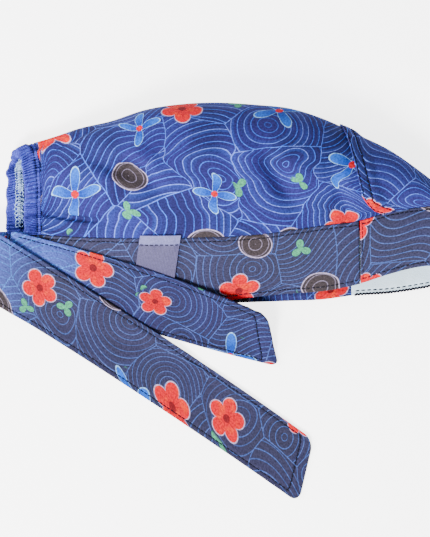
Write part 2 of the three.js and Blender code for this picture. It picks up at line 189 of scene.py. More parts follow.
def mix(a, b, t):
    """a where t is 0, b where it is 1, and in between the same share of each."""
    return a * (1 - t) + b * t


def seam_y(x):
    return along("seam", x) * band_height


def near_rim_y(x):
    return along("near_rim", x) * band_height


def far_rim_y(x):
    return along("far_rim", x) * band_height


def far_seam_y(x):
    return far_rim_y(x) + band_height


def fold_y(x):
    return seam_y(x) + along("rise", x) * crown_rise


def height(column, x):
    return along(column, x) * puff_height


def nose(x):
    """How much of its height the cap keeps at x: 1, falling in a quarter round to 0 at the forehead."""
    past = np.maximum(0, x - (crown_length - nose_length)) / nose_length
    return np.sqrt(np.maximum(0, 1 - past * past))


def pressed(x, y):
    """How deep the large folds press the near side down, in mm."""
    depth = 0
    for at, up, turn, long, wide, deep in folds:
        dx = x - at * crown_length
        dy = y - up * crown_rise
        c, s = math.cos(math.radians(turn)), math.sin(math.radians(turn))
        run = (dx * c + dy * s) / (long * crown_length * 0.5)
        across = (dy * c - dx * s) / (wide * crown_rise)
        depth = depth + deep * puff_height * np.exp(-run * run - across * across)
    return depth


def crown(place, w):
    """Middle of the crown's cloth, in mm: w runs from the near seam over the top fold to the far seam."""
    place, w = np.broadcast_arrays(np.asarray(place, float), np.asarray(w, float))
    is_near = w <= 0.5
    t = np.where(is_near, 2 * w, 2 - 2 * w)
    fade = np.maximum(0, 1 - np.maximum(place, 0) / nape_shift_fade)
    x = place - nape_shift * smooth(w, 0.25, 0.8) * fade * fade
    top = fold_y(place) + crown_seam_gap
    far_seam = np.minimum(far_seam_y(x) + crown_seam_gap, top)
    seam = np.where(is_near, seam_y(x) + crown_seam_gap, far_seam)
    radius = np.minimum(np.where(is_near, near_round, far_round), 0.8 * (top - seam))
    straight = np.minimum(t / (1 - round_share), 1)
    turn = np.maximum(0, (t - (1 - round_share)) / round_share) * (math.pi / 2)
    y = mix(seam, top - radius, straight) + radius * np.sin(turn)
    fold = height("fold", place)
    swell = np.sin(np.minimum(t / swell_share, 1) * (math.pi / 2))
    near_z = mix(height("seam_lift", place), height("puff", place), swell) - pressed(place, y)
    z = fold + (np.where(is_near, near_z, far_height) - fold) * np.cos(turn) * nose(place)
    return np.stack([x, y, z], axis=-1)


def crown_seam(w):
    """The cross seam between the two crown panels."""
    return mix(crown_seam_at_fold, crown_seam_at_band, np.abs(2 * w - 1) ** seam_bow)


lap_step = crown_wall + layer_gap


def laps_outside(w):
    """1 where the front panel laps over the back one, on the near side, and 0 where it lies under it."""
    return 1 - smooth(w, 0.5, 0.62)


def hashed(ix, iy, seed):
    """A repeatable random number from 0 to 1 for each lattice corner."""
    value = np.sin(ix * 127.1 + iy * 311.7 + seed * 74.7) * 43758.5453
    return value - np.floor(value)


def ripple_noise(x, y, seed):
    """Smooth noise from -1 to 1, with one hill to each unit of x and y."""
    x, y = np.broadcast_arrays(np.asarray(x, float), np.asarray(y, float))
    ix, iy = np.floor(x), np.floor(y)
    fx, fy = x - ix, y - iy
    u, v = fx * fx * (3 - 2 * fx), fy * fy * (3 - 2 * fy)
    low = mix(hashed(ix, iy, seed), hashed(ix + 1, iy, seed), u)
    high = mix(hashed(ix, iy + 1, seed), hashed(ix + 1, iy + 1, seed), u)
    return 2 * mix(low, high, v) - 1


edge_rows = np.array([0, 0.1, 0.3, 0.6])  # rows round an edge of the cloth, as shares of its width


def row_shares(count, edge):
    """Shares from 0 to 1 in even steps, with close rows at the rounded ends; edge is a share."""
    rounded = edge_rows * edge
    return np.concatenate([rounded, np.linspace(edge, 1 - edge, count), 1 - rounded[::-1]])


def close_rows(shares, seams, size):
    """The same shares with more rows beside each row of stitches; size is the panel's, in mm."""
    beside = np.array([-2.2, -1.5, -1.0, -0.6, -0.25, 0.25, 0.6, 1.0, 1.5, 2.2]) / size
    extra = (np.asarray(seams)[:, None] + beside).reshape(-1)
    rows = np.unique(np.concatenate([shares, extra[(extra > shares[4]) & (extra < shares[-5])]]))
    return rows[np.concatenate([[True], np.diff(rows) > 0.02 / size])]


def grid_normals(middle):
    """Directions out of a grid of points, one for each."""
    du = np.gradient(middle, axis=0)
    dv = np.gradient(middle, axis=1)
    normal = np.cross(du, dv)
    return normal / np.maximum(np.linalg.norm(normal, axis=-1, keepdims=True), 1e-9)


def arc_lengths(middle, axis):
    """Distance along the cloth from its first row, in mm."""
    step = np.linalg.norm(np.diff(middle, axis=axis), axis=-1)
    pad = [(0, 0), (0, 0)]
    pad[axis] = (1, 0)
    return np.cumsum(np.pad(step, pad), axis=axis)


def cloth_sheet(name, shares, middle, wall, lift=0.0, pole=False):
    """A closed cloth panel round the middle surface, a grid of points in mm, with its edges rounded.
    lift raises it along its normal. Gives the piece, and its cloth for what is sewn on it."""
    normal = grid_normals(middle)
    if pole:
        normal[-1] = normal[-2].mean(axis=0) / np.linalg.norm(normal[-2].mean(axis=0))
    middle = middle + normal * np.asarray(lift)[..., None]
    along_u, along_v = arc_lengths(middle, 0), arc_lengths(middle, 1)
    edge = np.minimum(np.minimum(along_v, along_v[:, -1:] - along_v), along_u)
    if not pole:
        edge = np.minimum(edge, along_u[-1:] - along_u)
    inside = np.clip(edge / (wall / 2), 0, 1)
    half = ((wall / 2) * np.sqrt(np.maximum(0, 1 - (1 - inside) ** 2)))[..., None]
    outer = middle + normal * half
    inner = middle - normal * half
    rows, columns = middle.shape[:2]
    points = np.concatenate([outer.reshape(-1, 3), inner.reshape(-1, 3)]) + nape_place
    points[:, 2] = np.maximum(points[:, 2], table_gap)  # the table presses it flat
    index = np.arange(rows * columns).reshape(rows, columns)
    a, b, c, d = index[:-1, :-1], index[1:, :-1], index[1:, 1:], index[:-1, 1:]
    outside = np.stack([a, b, c, d], axis=-1).reshape(-1, 4)
    inside_faces = np.stack([a, d, c, b], axis=-1).reshape(-1, 4) + rows * columns
    faces = np.concatenate([outside, inside_faces])
    mesh = bpy.data.meshes.new(name)
    mesh.from_pydata(points * MM, [], faces.tolist())
    spot = np.concatenate([np.stack([along_u, along_v], axis=-1).reshape(-1, 2)] * 2) * MM
    layer = mesh.uv_layers.new(name="cloth")
    layer.data.foreach_set("uv", spot[faces.reshape(-1)].reshape(-1))
    piece = bpy.data.objects.new(name, mesh)
    bpy.context.collection.objects.link(piece)
    bpy.ops.object.select_all(action="DESELECT")
    piece.select_set(True)
    bpy.context.view_layer.objects.active = piece
    bpy.ops.object.mode_set(mode="EDIT")
    bpy.ops.mesh.select_all(action="SELECT")
    bpy.ops.mesh.remove_doubles(threshold=1e-6)
    bpy.ops.mesh.dissolve_degenerate(threshold=1e-7)
    bpy.ops.object.mode_set(mode="OBJECT")
    bpy.ops.object.shade_smooth()
    return piece, (shares, middle, normal, half)


def on_cloth(cloth, u_path, v_path, side=1):
    """Points on a panel's outer face, or with side -1 its inner one, and the directions out of it."""
    (u_shares, v_shares), middle, normal, half = cloth
    i = np.interp(u_path, u_shares, np.arange(len(u_shares)))
    j = np.interp(v_path, v_shares, np.arange(len(v_shares)))
    i0 = np.clip(i.astype(int), 0, len(u_shares) - 2)
    j0 = np.clip(j.astype(int), 0, len(v_shares) - 2)
    part_i, part_j = (i - i0)[..., None], (j - j0)[..., None]

    def read(grid):
        start = mix(grid[i0, j0], grid[i0 + 1, j0], part_i)
        return mix(start, mix(grid[i0, j0 + 1], grid[i0 + 1, j0 + 1], part_i), part_j)

    return read(middle + side * normal * half), side * read(normal)


def stitches(cloth, u_path, v_path, side=1, long=2.6, gap=0.5, thick=0.7, slant=0.0):
    """A row of stitches along a path on a panel: for each, its middle line, the way out and its radii."""
    point, out = on_cloth(cloth, u_path, v_path, side)
    run = np.concatenate([[0], np.cumsum(np.linalg.norm(np.diff(point, axis=0), axis=-1))])
    count = max(1, int(run[-1] / (long + gap)))
    starts = (np.arange(count) + 0.5) * run[-1] / count
    ring = np.array([-1, -0.8, -0.35, 0.35, 0.8, 1])
    at = starts[:, None] + ring * long / 2
    centre = np.stack([np.interp(at, run, point[:, k]) for k in range(3)], axis=-1)
    up = np.stack([np.interp(at, run, out[:, k]) for k in range(3)], axis=-1)
    sink = np.array([0.55, 0.15, 0, 0, 0.15, 0.55]) * thick
    size = np.array([0.3, 0.85, 1, 1, 0.85, 0.3]) * thick / 2
    along = np.gradient(centre, axis=1)
    across = np.cross(up, along / np.linalg.norm(along, axis=-1, keepdims=True))
    centre = centre + up * (0.2 * thick - sink)[:, None] + across * (slant * ring)[:, None]
    centre[..., 2] = np.maximum(centre[..., 2], thick / 2)
    return centre, up, np.broadcast_to(size, at.shape)


def thread(name, runs, material):
    """One mesh of sewing thread; a run is the middle lines, the ways out and the radii of its pieces."""
    points, faces, count = [], [], 0
    turn = np.arange(6) * math.pi / 3
    for centre, out, radius in runs:
        along = np.gradient(centre, axis=1)
        along = along / np.linalg.norm(along, axis=-1, keepdims=True)
        side = np.cross(out, along)
        side = side / np.linalg.norm(side, axis=-1, keepdims=True)
        up = np.cross(along, side)
        round_it = side[:, :, None] * np.cos(turn)[:, None] + up[:, :, None] * np.sin(turn)[:, None]
        rings = centre[:, :, None] + round_it * radius[:, :, None, None]
        index = count + np.arange(rings[..., 0].size).reshape(rings.shape[:3])
        a, b = index[:, :-1], index[:, 1:]
        quads = np.stack([a, np.roll(a, -1, axis=2), np.roll(b, -1, axis=2), b], axis=-1)
        points.append(rings.reshape(-1, 3))
        faces += quads.reshape(-1, 4).tolist() + index[:, 0, ::-1].tolist() + index[:, -1].tolist()
        count += index.size
    mesh = bpy.data.meshes.new(name)
    mesh.from_pydata((np.concatenate(points) + nape_place) * MM, [], faces)
    mesh.polygons.foreach_set("use_smooth", [True] * len(faces))
    mesh.materials.append(material)
    piece = bpy.data.objects.new(name, mesh)
    bpy.context.collection.objects.link(piece)
    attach(piece, "root")
    return piece


def drawn_in(across, run, seed, pucker=0.3):
    """How a row of stitches draws the cloth in, in mm: a groove, with small puckers beside it."""
    groove = -0.35 * np.exp(-((across / 0.9) ** 2))
    puckers = pucker * ripple_noise(run / 3.4, across / 14, seed) * np.exp(-((across / 4.5) ** 2))
    return groove + puckers


# Sharp creases of the near side: from x, y to x, y, then how wide and how deep, all in mm.
creases = [
    (36.0, 71.0, 2.0, 53.0, 1.7, 2.0),
    (-1.0, 15.0, 38.0, 10.0, 1.5, 2.4),
    (31.0, 50.0, 80.0, 30.5, 4.5, 2.4),
    (53.0, 46.5, 72.0, 36.0, 4.6, 4.2),
    (24.0, 27.0, 52.0, 33.0, 3.0, 1.1),
    (141.0, 50.0, 160.0, 24.0, 5.0, 2.0),
    (96.0, 10.0, 140.0, 17.0, 4.0, 0.9),
    (108.0, 62.0, 128.0, 40.0, 6.0, 1.1),
]


def creased(x, y):
    """How deep the sharp creases press the near side, with the fold that stands up beside each."""
    depth = 0
    for x0, y0, x1, y1, wide, deep in creases:
        length = math.hypot(x1 - x0, y1 - y0)
        along_x, along_y = (x1 - x0) / length, (y1 - y0) / length
        run = ((x - x0) * along_x + (y - y0) * along_y) / length
        across = ((y - y0) * along_x - (x - x0) * along_y) / wide
        fade = smooth(run, -0.12, 0.22) * (1 - smooth(run, 0.72, 1.12))
        fold = np.exp(-across * across) - 0.45 * np.exp(-((across - 2.1) ** 2) / 2)
        depth = depth + deep * fold * fade
    return depth


def fine_wrinkles(x, y):
    """Small waves in the crown's near side, in mm."""
    broad = ripple_noise(x / 34 + 3, y / 20, 5) * 1.0
    slanted = ripple_noise((x + y) / 26, (y - x * 0.35) / 9, 8) * 0.5
    small = ripple_noise(x / 7, y / 6, 9) * 0.12
    return broad + slanted + small


def add_node(tree, kind, inputs=(), **settings):
    """A shader node with its settings, and its inputs given as values or as other nodes' outputs."""
    node = tree.nodes.new(kind)
    for name, value in settings.items():
        setattr(node, name, value)
    for name, value in dict(inputs).items():
        if isinstance(value, bpy.types.NodeSocket):
            tree.links.new(value, node.inputs[name])
        else:
            node.inputs[name].default_value = value
    return node


def maths(tree, operation, *values, clamp=False):
    """The output of a Math node on up to three values."""
    inputs = {i: value for i, value in enumerate(values)}
    return add_node(tree, "ShaderNodeMath", inputs, operation=operation, use_clamp=clamp).outputs[0]


def step_between(tree, value, low, high):
    """0 where value is under low, 1 over high, smooth between; falling when low is over high."""
    inputs = {"Value": value, "From Min": low, "From Max": high}
    node = add_node(tree, "ShaderNodeMapRange", inputs, interpolation_type="SMOOTHSTEP")
    return node.outputs["Result"]


def blend_colours(tree, factor, under, over):
    node = add_node(tree, "ShaderNodeMix", {"Factor": factor}, data_type="RGBA")
    for slot_index, value in ((6, under), (7, over)):
        if isinstance(value, bpy.types.NodeSocket):
            tree.links.new(value, node.inputs[slot_index])
        else:
            node.inputs[slot_index].default_value = (*value, 1)
    return node.outputs[2]


def cloth_millimetres(tree, offset=(0, 0), turn=0.0):
    """Where a point of the cloth lies on the cut piece, in mm, moved and turned to suit the piece."""
    spot = add_node(tree, "ShaderNodeUVMap", uv_map="cloth").outputs["UV"]
    inputs = {
        "Vector": spot,
        "Scale": (1000, 1000, 1000),
        "Location": (offset[0], offset[1], 0),
        "Rotation": (0, 0, math.radians(turn)),
    }
    return add_node(tree, "ShaderNodeMapping", inputs).outputs["Vector"]


def swirl_lines(tree, spot, spacing, seed):
    """Fine drawn lines, rings in most cells and waves in others, with a line along each cell's border.
    Gives 1 on a line, a random number for each line, and how far it is from one line to the next."""
    cell_size = 47.0
    wander = 24.0  # how far the cells are drawn out of shape
    wave_length, wave_size = 11.0, 6.0
    wave_share = 0.34  # of the cells
    least_off, spread_off = -2.0, 26.0  # how far a cell's rings lie from its middle
    border_pale, border_full = 0.36, 0.14  # where a border's line begins to show, and where it shows fully
    line_pale, line_full = 0.085, 0.03  # the same for the other lines, as shares of their spacing
    drift = add_node(
        tree,
        "ShaderNodeTexNoise",
        {"Vector": spot, "Scale": 0.013, "Detail": 0.0, "W": seed},
        noise_dimensions="4D",
    ).outputs["Color"]
    centred = add_node(
        tree, "ShaderNodeVectorMath", {0: drift, 1: (0.5, 0.5, 0.5)}, operation="SUBTRACT"
    ).outputs["Vector"]
    bent = add_node(
        tree, "ShaderNodeVectorMath", {0: centred, 1: (wander, wander, 0), 2: spot}, operation="MULTIPLY_ADD"
    ).outputs["Vector"]
    cells = add_node(
        tree,
        "ShaderNodeTexVoronoi",
        {"Vector": bent, "Scale": 1 / cell_size, "Randomness": 1.0},
        voronoi_dimensions="2D",
    )
    chance = add_node(tree, "ShaderNodeSeparateColor", {"Color": cells.outputs["Color"]})
    from_middle = add_node(
        tree, "ShaderNodeVectorMath", {0: bent, 1: cells.outputs["Position"]}, operation="SUBTRACT"
    ).outputs["Vector"]
    turned = add_node(
        tree,
        "ShaderNodeVectorRotate",
        {"Vector": from_middle, "Angle": maths(tree, "MULTIPLY", chance.outputs["Green"], 2 * math.pi)},
        rotation_type="Z_AXIS",
    ).outputs["Vector"]
    parts = add_node(tree, "ShaderNodeSeparateXYZ", {"Vector": turned})
    sway = maths(tree, "SINE", maths(tree, "DIVIDE", parts.outputs["Y"], wave_length))
    wave = maths(tree, "MULTIPLY_ADD", sway, wave_size, parts.outputs["X"])
    off_middle = maths(tree, "MULTIPLY_ADD", chance.outputs["Blue"], spread_off, least_off)
    ring_middle = add_node(tree, "ShaderNodeCombineXYZ", {"X": off_middle})
    ring = add_node(
        tree, "ShaderNodeVectorMath", {0: turned, 1: ring_middle.outputs["Vector"]}, operation="DISTANCE"
    ).outputs["Value"]
    is_wave = maths(tree, "GREATER_THAN", chance.outputs["Red"], 1 - wave_share)
    run = add_node(tree, "ShaderNodeMix", {"Factor": is_wave, "A": ring, "B": wave}).outputs["Result"]
    own_spacing = maths(tree, "MULTIPLY_ADD", chance.outputs["Blue"], 0.45 * spacing, 0.8 * spacing)
    field = maths(tree, "ADD", maths(tree, "DIVIDE", run, own_spacing), 0.5)
    from_line = maths(tree, "PINGPONG", field, 0.5)
    which = maths(tree, "MULTIPLY_ADD", chance.outputs["Blue"], 91, maths(tree, "ROUND", field))
    number = add_node(tree, "ShaderNodeTexWhiteNoise", {"W": which}, noise_dimensions="1D").outputs["Value"]
    between = maths(tree, "FRACT", field)
    borders = add_node(
        tree,
        "ShaderNodeTexVoronoi",
        {"Vector": bent, "Scale": 1 / cell_size, "Randomness": 1.0},
        voronoi_dimensions="2D",
        feature="DISTANCE_TO_EDGE",
    )
    from_border = maths(tree, "MULTIPLY", borders.outputs["Distance"], cell_size)
    border = step_between(tree, from_border, border_pale, border_full)
    line = maths(tree, "MAXIMUM", step_between(tree, from_line, line_pale, line_full), border)
    number = maths(tree, "MAXIMUM", number, maths(tree, "MULTIPLY", border, 0.62))
    return line, number, between


def scattered_motifs(tree, spot, spacing, seed, wobble):
    """Places for a motif, one to a cell: distance from its middle in mm, its angle and random numbers."""
    moved = add_node(
        tree, "ShaderNodeVectorMath", {0: spot, 1: (seed * 37.0, seed * 53.0, 0)}, operation="ADD"
    ).outputs["Vector"]
    cells = add_node(
        tree,
        "ShaderNodeTexVoronoi",
        {"Vector": moved, "Scale": 1 / spacing, "Randomness": wobble},
        voronoi_dimensions="2D",
    )
    from_middle = add_node(
        tree, "ShaderNodeVectorMath", {0: moved, 1: cells.outputs["Position"]}, operation="SUBTRACT"
    ).outputs["Vector"]
    chance = add_node(tree, "ShaderNodeSeparateColor", {"Color": cells.outputs["Color"]})
    parts = add_node(tree, "ShaderNodeSeparateXYZ", {"Vector": from_middle})
    angle = maths(tree, "ARCTAN2", parts.outputs["Y"], parts.outputs["X"])
    turned = maths(tree, "ADD", angle, maths(tree, "MULTIPLY", chance.outputs["Green"], 2 * math.pi))
    distance = add_node(tree, "ShaderNodeVectorMath", {0: from_middle}, operation="LENGTH").outputs["Value"]
    return distance, turned, chance.outputs["Red"], chance.outputs["Blue"]


def petal_outline(tree, angle, petals, radius, depth, sharpness=1.0):
    """Radius in mm of a flower's outline at each angle."""
    wave = maths(tree, "ABSOLUTE", maths(tree, "COSINE", maths(tree, "MULTIPLY", angle, petals / 2)))
    shaped = maths(tree, "POWER", wave, sharpness)
    return maths(tree, "MULTIPLY_ADD", shaped, radius * depth, radius * (1 - depth))


def within(tree, distance, outline, soft=0.35):
    """1 inside an outline, 0 outside."""
    return step_between(tree, maths(tree, "SUBTRACT", outline, distance), 0, soft)


def chosen(tree, chance, low, high):
    """1 for the cells whose random number lies between low and high."""
    above = maths(tree, "GREATER_THAN", chance, low)
    return maths(tree, "MULTIPLY", above, maths(tree, "LESS_THAN", chance, high))


print_colours = {
    "ground": (0.0175, 0.0155, 0.118),
    "ground_dark": (0.010, 0.010, 0.060),
    # ground_grey here and line_grey below are painted sheen haze, the grey of grazing light on the cloth.
    "ground_grey": (0.0265, 0.0260, 0.0470),
    "line_blue": (0.030, 0.12, 0.66),
    "line_pale": (0.11, 0.17, 0.62),
    "line_grey": (0.055, 0.115, 0.36),
    # line_bright is painted glare on the lines of the ties' roll.
    "line_bright": (0.05, 0.30, 0.90),
    "coral": (0.53, 0.003, 0.012),
    "coral_light": (0.66, 0.030, 0.010),
    "coral_dark": (0.16, 0.006, 0.010),
    "pebble": (0.034, 0.026, 0.030),
    "mint": (0.05, 0.26, 0.14),
    "sky": (0.012, 0.105, 0.55),
    "sky_deep": (0.006, 0.045, 0.34),
    "outline": (0.36, 0.30, 0.47),
    "sky_rim": (0.24, 0.48, 0.80),
    # The last two are painted: a pale blue for painted light on the casing, a bright blue for painted glare.
    "painted_light": (0.085, 0.095, 0.62),
    "painted_glare": (0.105, 0.185, 0.80),
}

# Motifs, each by its petals, its radius in mm, how deep and how sharp its petals are cut, and which
# share of the places it takes.
motifs_printed = {
    "blossom": (5, 12.5, 0.42, 0.7, -0.1, 0.36),
    "pebble": (2, 11.5, 0.16, 2.0, 0.36, 0.66),
    "sprig": (4, 14.5, 0.86, 2.6, 0.66, 0.84),
    "leaf": (3, 6.8, 0.78, 1.3, 0.0, 0.42),
}
motif_spacing, leaf_spacing = 46.0, 36.0
rim_width, sprig_rim_width, leaf_rim_width = 0.7, 0.8, 0.5
petal_veins = 15
heart_size, bud_size = 2.6, 2.4
pebble_band_width = 4.6


def motif_shape(tree, motif, angle, kind):
    """A motif's outline, and where it is printed."""
    petals, radius, depth, sharpness, low, high = motifs_printed[motif]
    return petal_outline(tree, angle, petals, radius, depth, sharpness), chosen(tree, kind, low, high)


def stamped(tree, printed, distance, outline, where, rim, rim_colour, inside):
    """The print with a motif stamped on it: a rim of the given width, and the motif's colour inside."""
    with_rim = within(tree, distance, maths(tree, "ADD", outline, rim))
    printed = blend_colours(tree, maths(tree, "MULTIPLY", with_rim, where), printed, rim_colour)
    no_rim = maths(tree, "MULTIPLY", within(tree, distance, outline), where)
    return blend_colours(tree, no_rim, printed, inside)


def print_motifs(tree, spot, seed, order, printed, colour):
    """Blossoms, pebbles, sprigs and small leaves, scattered over the swirls."""
    wash = add_node(tree, "ShaderNodeTexNoise", {"Vector": spot, "Scale": 0.16, "Detail": 3.0}).outputs["Fac"]
    distance, angle, kind, size = scattered_motifs(tree, spot, motif_spacing, seed + 1, 0.55)
    kind = maths(tree, "FRACT", maths(tree, "ADD", kind, order))
    grown = maths(tree, "DIVIDE", distance, maths(tree, "MULTIPLY_ADD", size, 0.35, 0.85))

    blossom, is_blossom = motif_shape(tree, "blossom", angle, kind)
    veins = maths(tree, "ABSOLUTE", maths(tree, "SINE", maths(tree, "MULTIPLY", angle, petal_veins / 2)))
    vein_fade = step_between(tree, grown, 10.5, 4.0)
    vein_dark = maths(tree, "MULTIPLY", step_between(tree, veins, 0.3, 0.05), vein_fade)
    washed = blend_colours(tree, step_between(tree, wash, 0.48, 0.66), colour["coral"], colour["coral_light"])
    petal_colour = blend_colours(tree, maths(tree, "MULTIPLY", vein_dark, 0.8), washed, colour["coral_dark"])
    printed = stamped(tree, printed, grown, blossom, is_blossom, rim_width, colour["outline"], petal_colour)
    heart = maths(tree, "MULTIPLY", step_between(tree, grown, heart_size, heart_size - 0.4), is_blossom)
    printed = blend_colours(tree, heart, printed, colour["coral_dark"])

    pebble, is_pebble = motif_shape(tree, "pebble", angle, kind)
    band_ring = maths(tree, "PINGPONG", maths(tree, "DIVIDE", grown, pebble_band_width), 0.5)
    ring_share = maths(tree, "MULTIPLY", step_between(tree, band_ring, 0.09, 0.03), 0.35)
    pebble_colour = blend_colours(tree, ring_share, colour["pebble"], colour["outline"])
    printed = stamped(tree, printed, grown, pebble, is_pebble, rim_width, colour["outline"], pebble_colour)

    sprig, is_sprig = motif_shape(tree, "sprig", angle, kind)
    sprig_colour = blend_colours(tree, step_between(tree, grown, 3, 12), colour["sky_deep"], colour["sky"])
    printed = stamped(tree, printed, grown, sprig, is_sprig, sprig_rim_width, colour["sky_rim"], sprig_colour)
    bud = maths(tree, "MULTIPLY", step_between(tree, grown, bud_size, bud_size - 0.4), is_sprig)
    printed = blend_colours(tree, bud, printed, colour["coral"])

    leaf_distance, leaf_angle, leaf_kind, _ = scattered_motifs(tree, spot, leaf_spacing, seed + 2, 0.8)
    leaf, is_leaf = motif_shape(tree, "leaf", leaf_angle, leaf_kind)
    free = step_between(tree, grown, 13.5, 15.5)
    is_leaf = maths(tree, "MULTIPLY", is_leaf, free)
    leaf_edge = maths(tree, "ADD", leaf, leaf_rim_width)
    leaf_rim = maths(tree, "MULTIPLY", within(tree, leaf_distance, leaf_edge), is_leaf)
    printed = blend_colours(tree, maths(tree, "MULTIPLY", leaf_rim, 0.7), printed, colour["ground_dark"])
    leaf_inside = maths(tree, "MULTIPLY", within(tree, leaf_distance, leaf), is_leaf)
    return blend_colours(tree, leaf_inside, printed, colour["mint"])


def printed_cotton(
    name,
    offset=(0, 0),
    turn=0.0,
    seed=0.0,
    order=0.0,
    greyed=0.0,
    tone=1.0,
    motifs=True,
    painted_glare=0.0,
    painted_light=0.0,
):
    """The cap's cloth: a blue cotton blend printed all over with swirls and loose motifs.
    offset and turn lay the print on the piece, seed draws its swirls and motifs, and order changes which
    motif comes where. greyed turns the ground and lines grey: painted sheen, the haze of grazing light on
    the band and ties. tone lightens or darkens it all: painted light above 1, painted shade below 1.
    painted_glare is how far from its sewn end the cloth is painted paler, in mm: a painted glare on a tie's
    rolled end; painted_light is how much the whole print is paled: painted light on the shaded casing."""
    line_spacing = 4.0
    brushed_share = 0.2  # how much of the lines' blue lies between them
    glare_end, glare_strength = 0.3, 0.5
    weave_scale = 0.36
    material = bpy.data.materials.new(name)
    material.use_nodes = True
    tree = material.node_tree
    shader = tree.nodes["Principled BSDF"]
    spot = cloth_millimetres(tree, offset, turn)
    colour = print_colours

    patches = add_node(tree, "ShaderNodeTexNoise", {"Vector": spot, "Scale": 0.022, "Detail": 1.5})
    dark_share = maths(tree, "MULTIPLY", step_between(tree, patches.outputs["Fac"], 0.56, 0.40), 0.7)
    ground = blend_colours(tree, dark_share, colour["ground"], colour["ground_dark"])
    # Painted sheen haze: the ground turned grey, as on faces that catch grazing light.
    ground = blend_colours(tree, greyed, ground, colour["ground_grey"])
    # Painted glare: the ground paler towards a tie's sewn end, where light glances off its roll.
    if painted_glare:
        along_tie = add_node(
            tree,
            "ShaderNodeSeparateXYZ",
            {"Vector": add_node(tree, "ShaderNodeUVMap", uv_map="cloth").outputs["UV"]},
        ).outputs["X"]
        glare_mask = step_between(tree, along_tie, painted_glare * MM, glare_end * painted_glare * MM)
        ground_share = maths(tree, "MULTIPLY", glare_mask, glare_strength)
        ground = blend_colours(tree, ground_share, ground, colour["painted_glare"])
    line, number, between = swirl_lines(tree, spot, line_spacing, seed)
    brushed = maths(tree, "MULTIPLY", between, step_between(tree, number, 0.3, 0.9))
    brushed = maths(tree, "MULTIPLY", brushed, brushed_share * (1 - greyed))
    ground = blend_colours(tree, brushed, ground, colour["line_blue"])
    pale_share = step_between(tree, number, 0.45, 0.85)
    line_colour = blend_colours(tree, pale_share, colour["line_blue"], colour["line_pale"])
    line_colour = blend_colours(tree, greyed, line_colour, colour["line_grey"])
    # Painted glare on the lines as well.
    if painted_glare:
        line_colour = blend_colours(tree, glare_mask, line_colour, colour["line_bright"])
    strength = maths(tree, "MULTIPLY", line, step_between(tree, number, -0.35, 0.5))
    strength = maths(tree, "MULTIPLY", strength, 1 - 0.4 * greyed)
    printed = blend_colours(tree, strength, ground, line_colour)
    if motifs:
        printed = print_motifs(tree, spot, seed, order, printed, colour)
    # Painted light: the whole print paled towards a light blue.
    if painted_light:
        printed = blend_colours(tree, painted_light, printed, colour["painted_light"])

    warp_thread = add_node(
        tree,
        "ShaderNodeTexWave",
        {"Vector": spot, "Scale": weave_scale, "Distortion": 0.4, "Detail": 1.0},
        bands_direction="X",
    ).outputs["Fac"]
    weft_thread = add_node(
        tree,
        "ShaderNodeTexWave",
        {"Vector": spot, "Scale": weave_scale, "Distortion": 0.4, "Detail": 1.0},
        bands_direction="Y",
    ).outputs["Fac"]
    weave = maths(tree, "MULTIPLY", warp_thread, weft_thread)
    slub = add_node(tree, "ShaderNodeTexNoise", {"Vector": spot, "Scale": 0.8, "Detail": 4.0}).outputs["Fac"]
    # The per-piece brightness factor scales the whole base colour: painted light where it is over 1, painted
    # shade where it is under 1.
    fibre = maths(tree, "MULTIPLY_ADD", slub, 2.3 * tone, -0.15 * tone)
    thread_shade = maths(tree, "MULTIPLY", fibre, maths(tree, "MULTIPLY_ADD", weave, 0.16, 0.9))
    shaded = add_node(
        tree, "ShaderNodeVectorMath", {0: printed, "Scale": thread_shade}, operation="SCALE"
    ).outputs["Vector"]
    tree.links.new(shaded, shader.inputs["Base Color"])

    relief = maths(tree, "ADD", maths(tree, "MULTIPLY", weave, 0.5), maths(tree, "MULTIPLY", slub, 0.6))
    bump = add_node(
        tree, "ShaderNodeBump", {"Height": relief, "Strength": 0.4, "Distance": 0.00014}
    ).outputs["Normal"]
    tree.links.new(bump, shader.inputs["Normal"])
    rough = maths(tree, "MULTIPLY_ADD", slub, 0.2, 0.7)
    tree.links.new(rough, shader.inputs["Roughness"])
    shader.inputs["Specular IOR Level"].default_value = 0.1
    shader.inputs["Sheen Weight"].default_value = 0.03
    shader.inputs["Sheen Roughness"].default_value = 0.5
    shader.inputs["Sheen Tint"].default_value = (0.75, 0.82, 1.0, 1)
    return material


def thread_finish(name, colour, rough):
    """Twisted polyester sewing thread."""
    material = bpy.data.materials.new(name)
    material.use_nodes = True
    tree = material.node_tree
    shader = tree.nodes["Principled BSDF"]
    place = add_node(tree, "ShaderNodeTexCoord").outputs["Object"]
    twist = add_node(
        tree,
        "ShaderNodeTexWave",
        {"Vector": place, "Scale": 900, "Distortion": 1.5},
        bands_direction="DIAGONAL",
    ).outputs["Fac"]
    dark = tuple(0.6 * c for c in colour)
    tree.links.new(blend_colours(tree, twist, dark, colour), shader.inputs["Base Color"])
    bump = add_node(tree, "ShaderNodeBump", {"Height": twist, "Strength": 0.5, "Distance": 0.0001})
    tree.links.new(bump.outputs["Normal"], shader.inputs["Normal"])
    shader.inputs["Roughness"].default_value = rough
    shader.inputs["Specular IOR Level"].default_value = 0.15
    return material


dark_thread = thread_finish("dark_thread", (0.005, 0.005, 0.014), 0.8)
crown_print = printed_cotton("crown_print", offset=(12, 4), seed=1.0)
# The front panel's print is brightened and a little greyed: painted light and painted sheen haze.
crown_front_print = printed_cotton(
    "crown_front_print", offset=(130, 61), turn=24, seed=2.0, greyed=0.15, tone=1.55
)

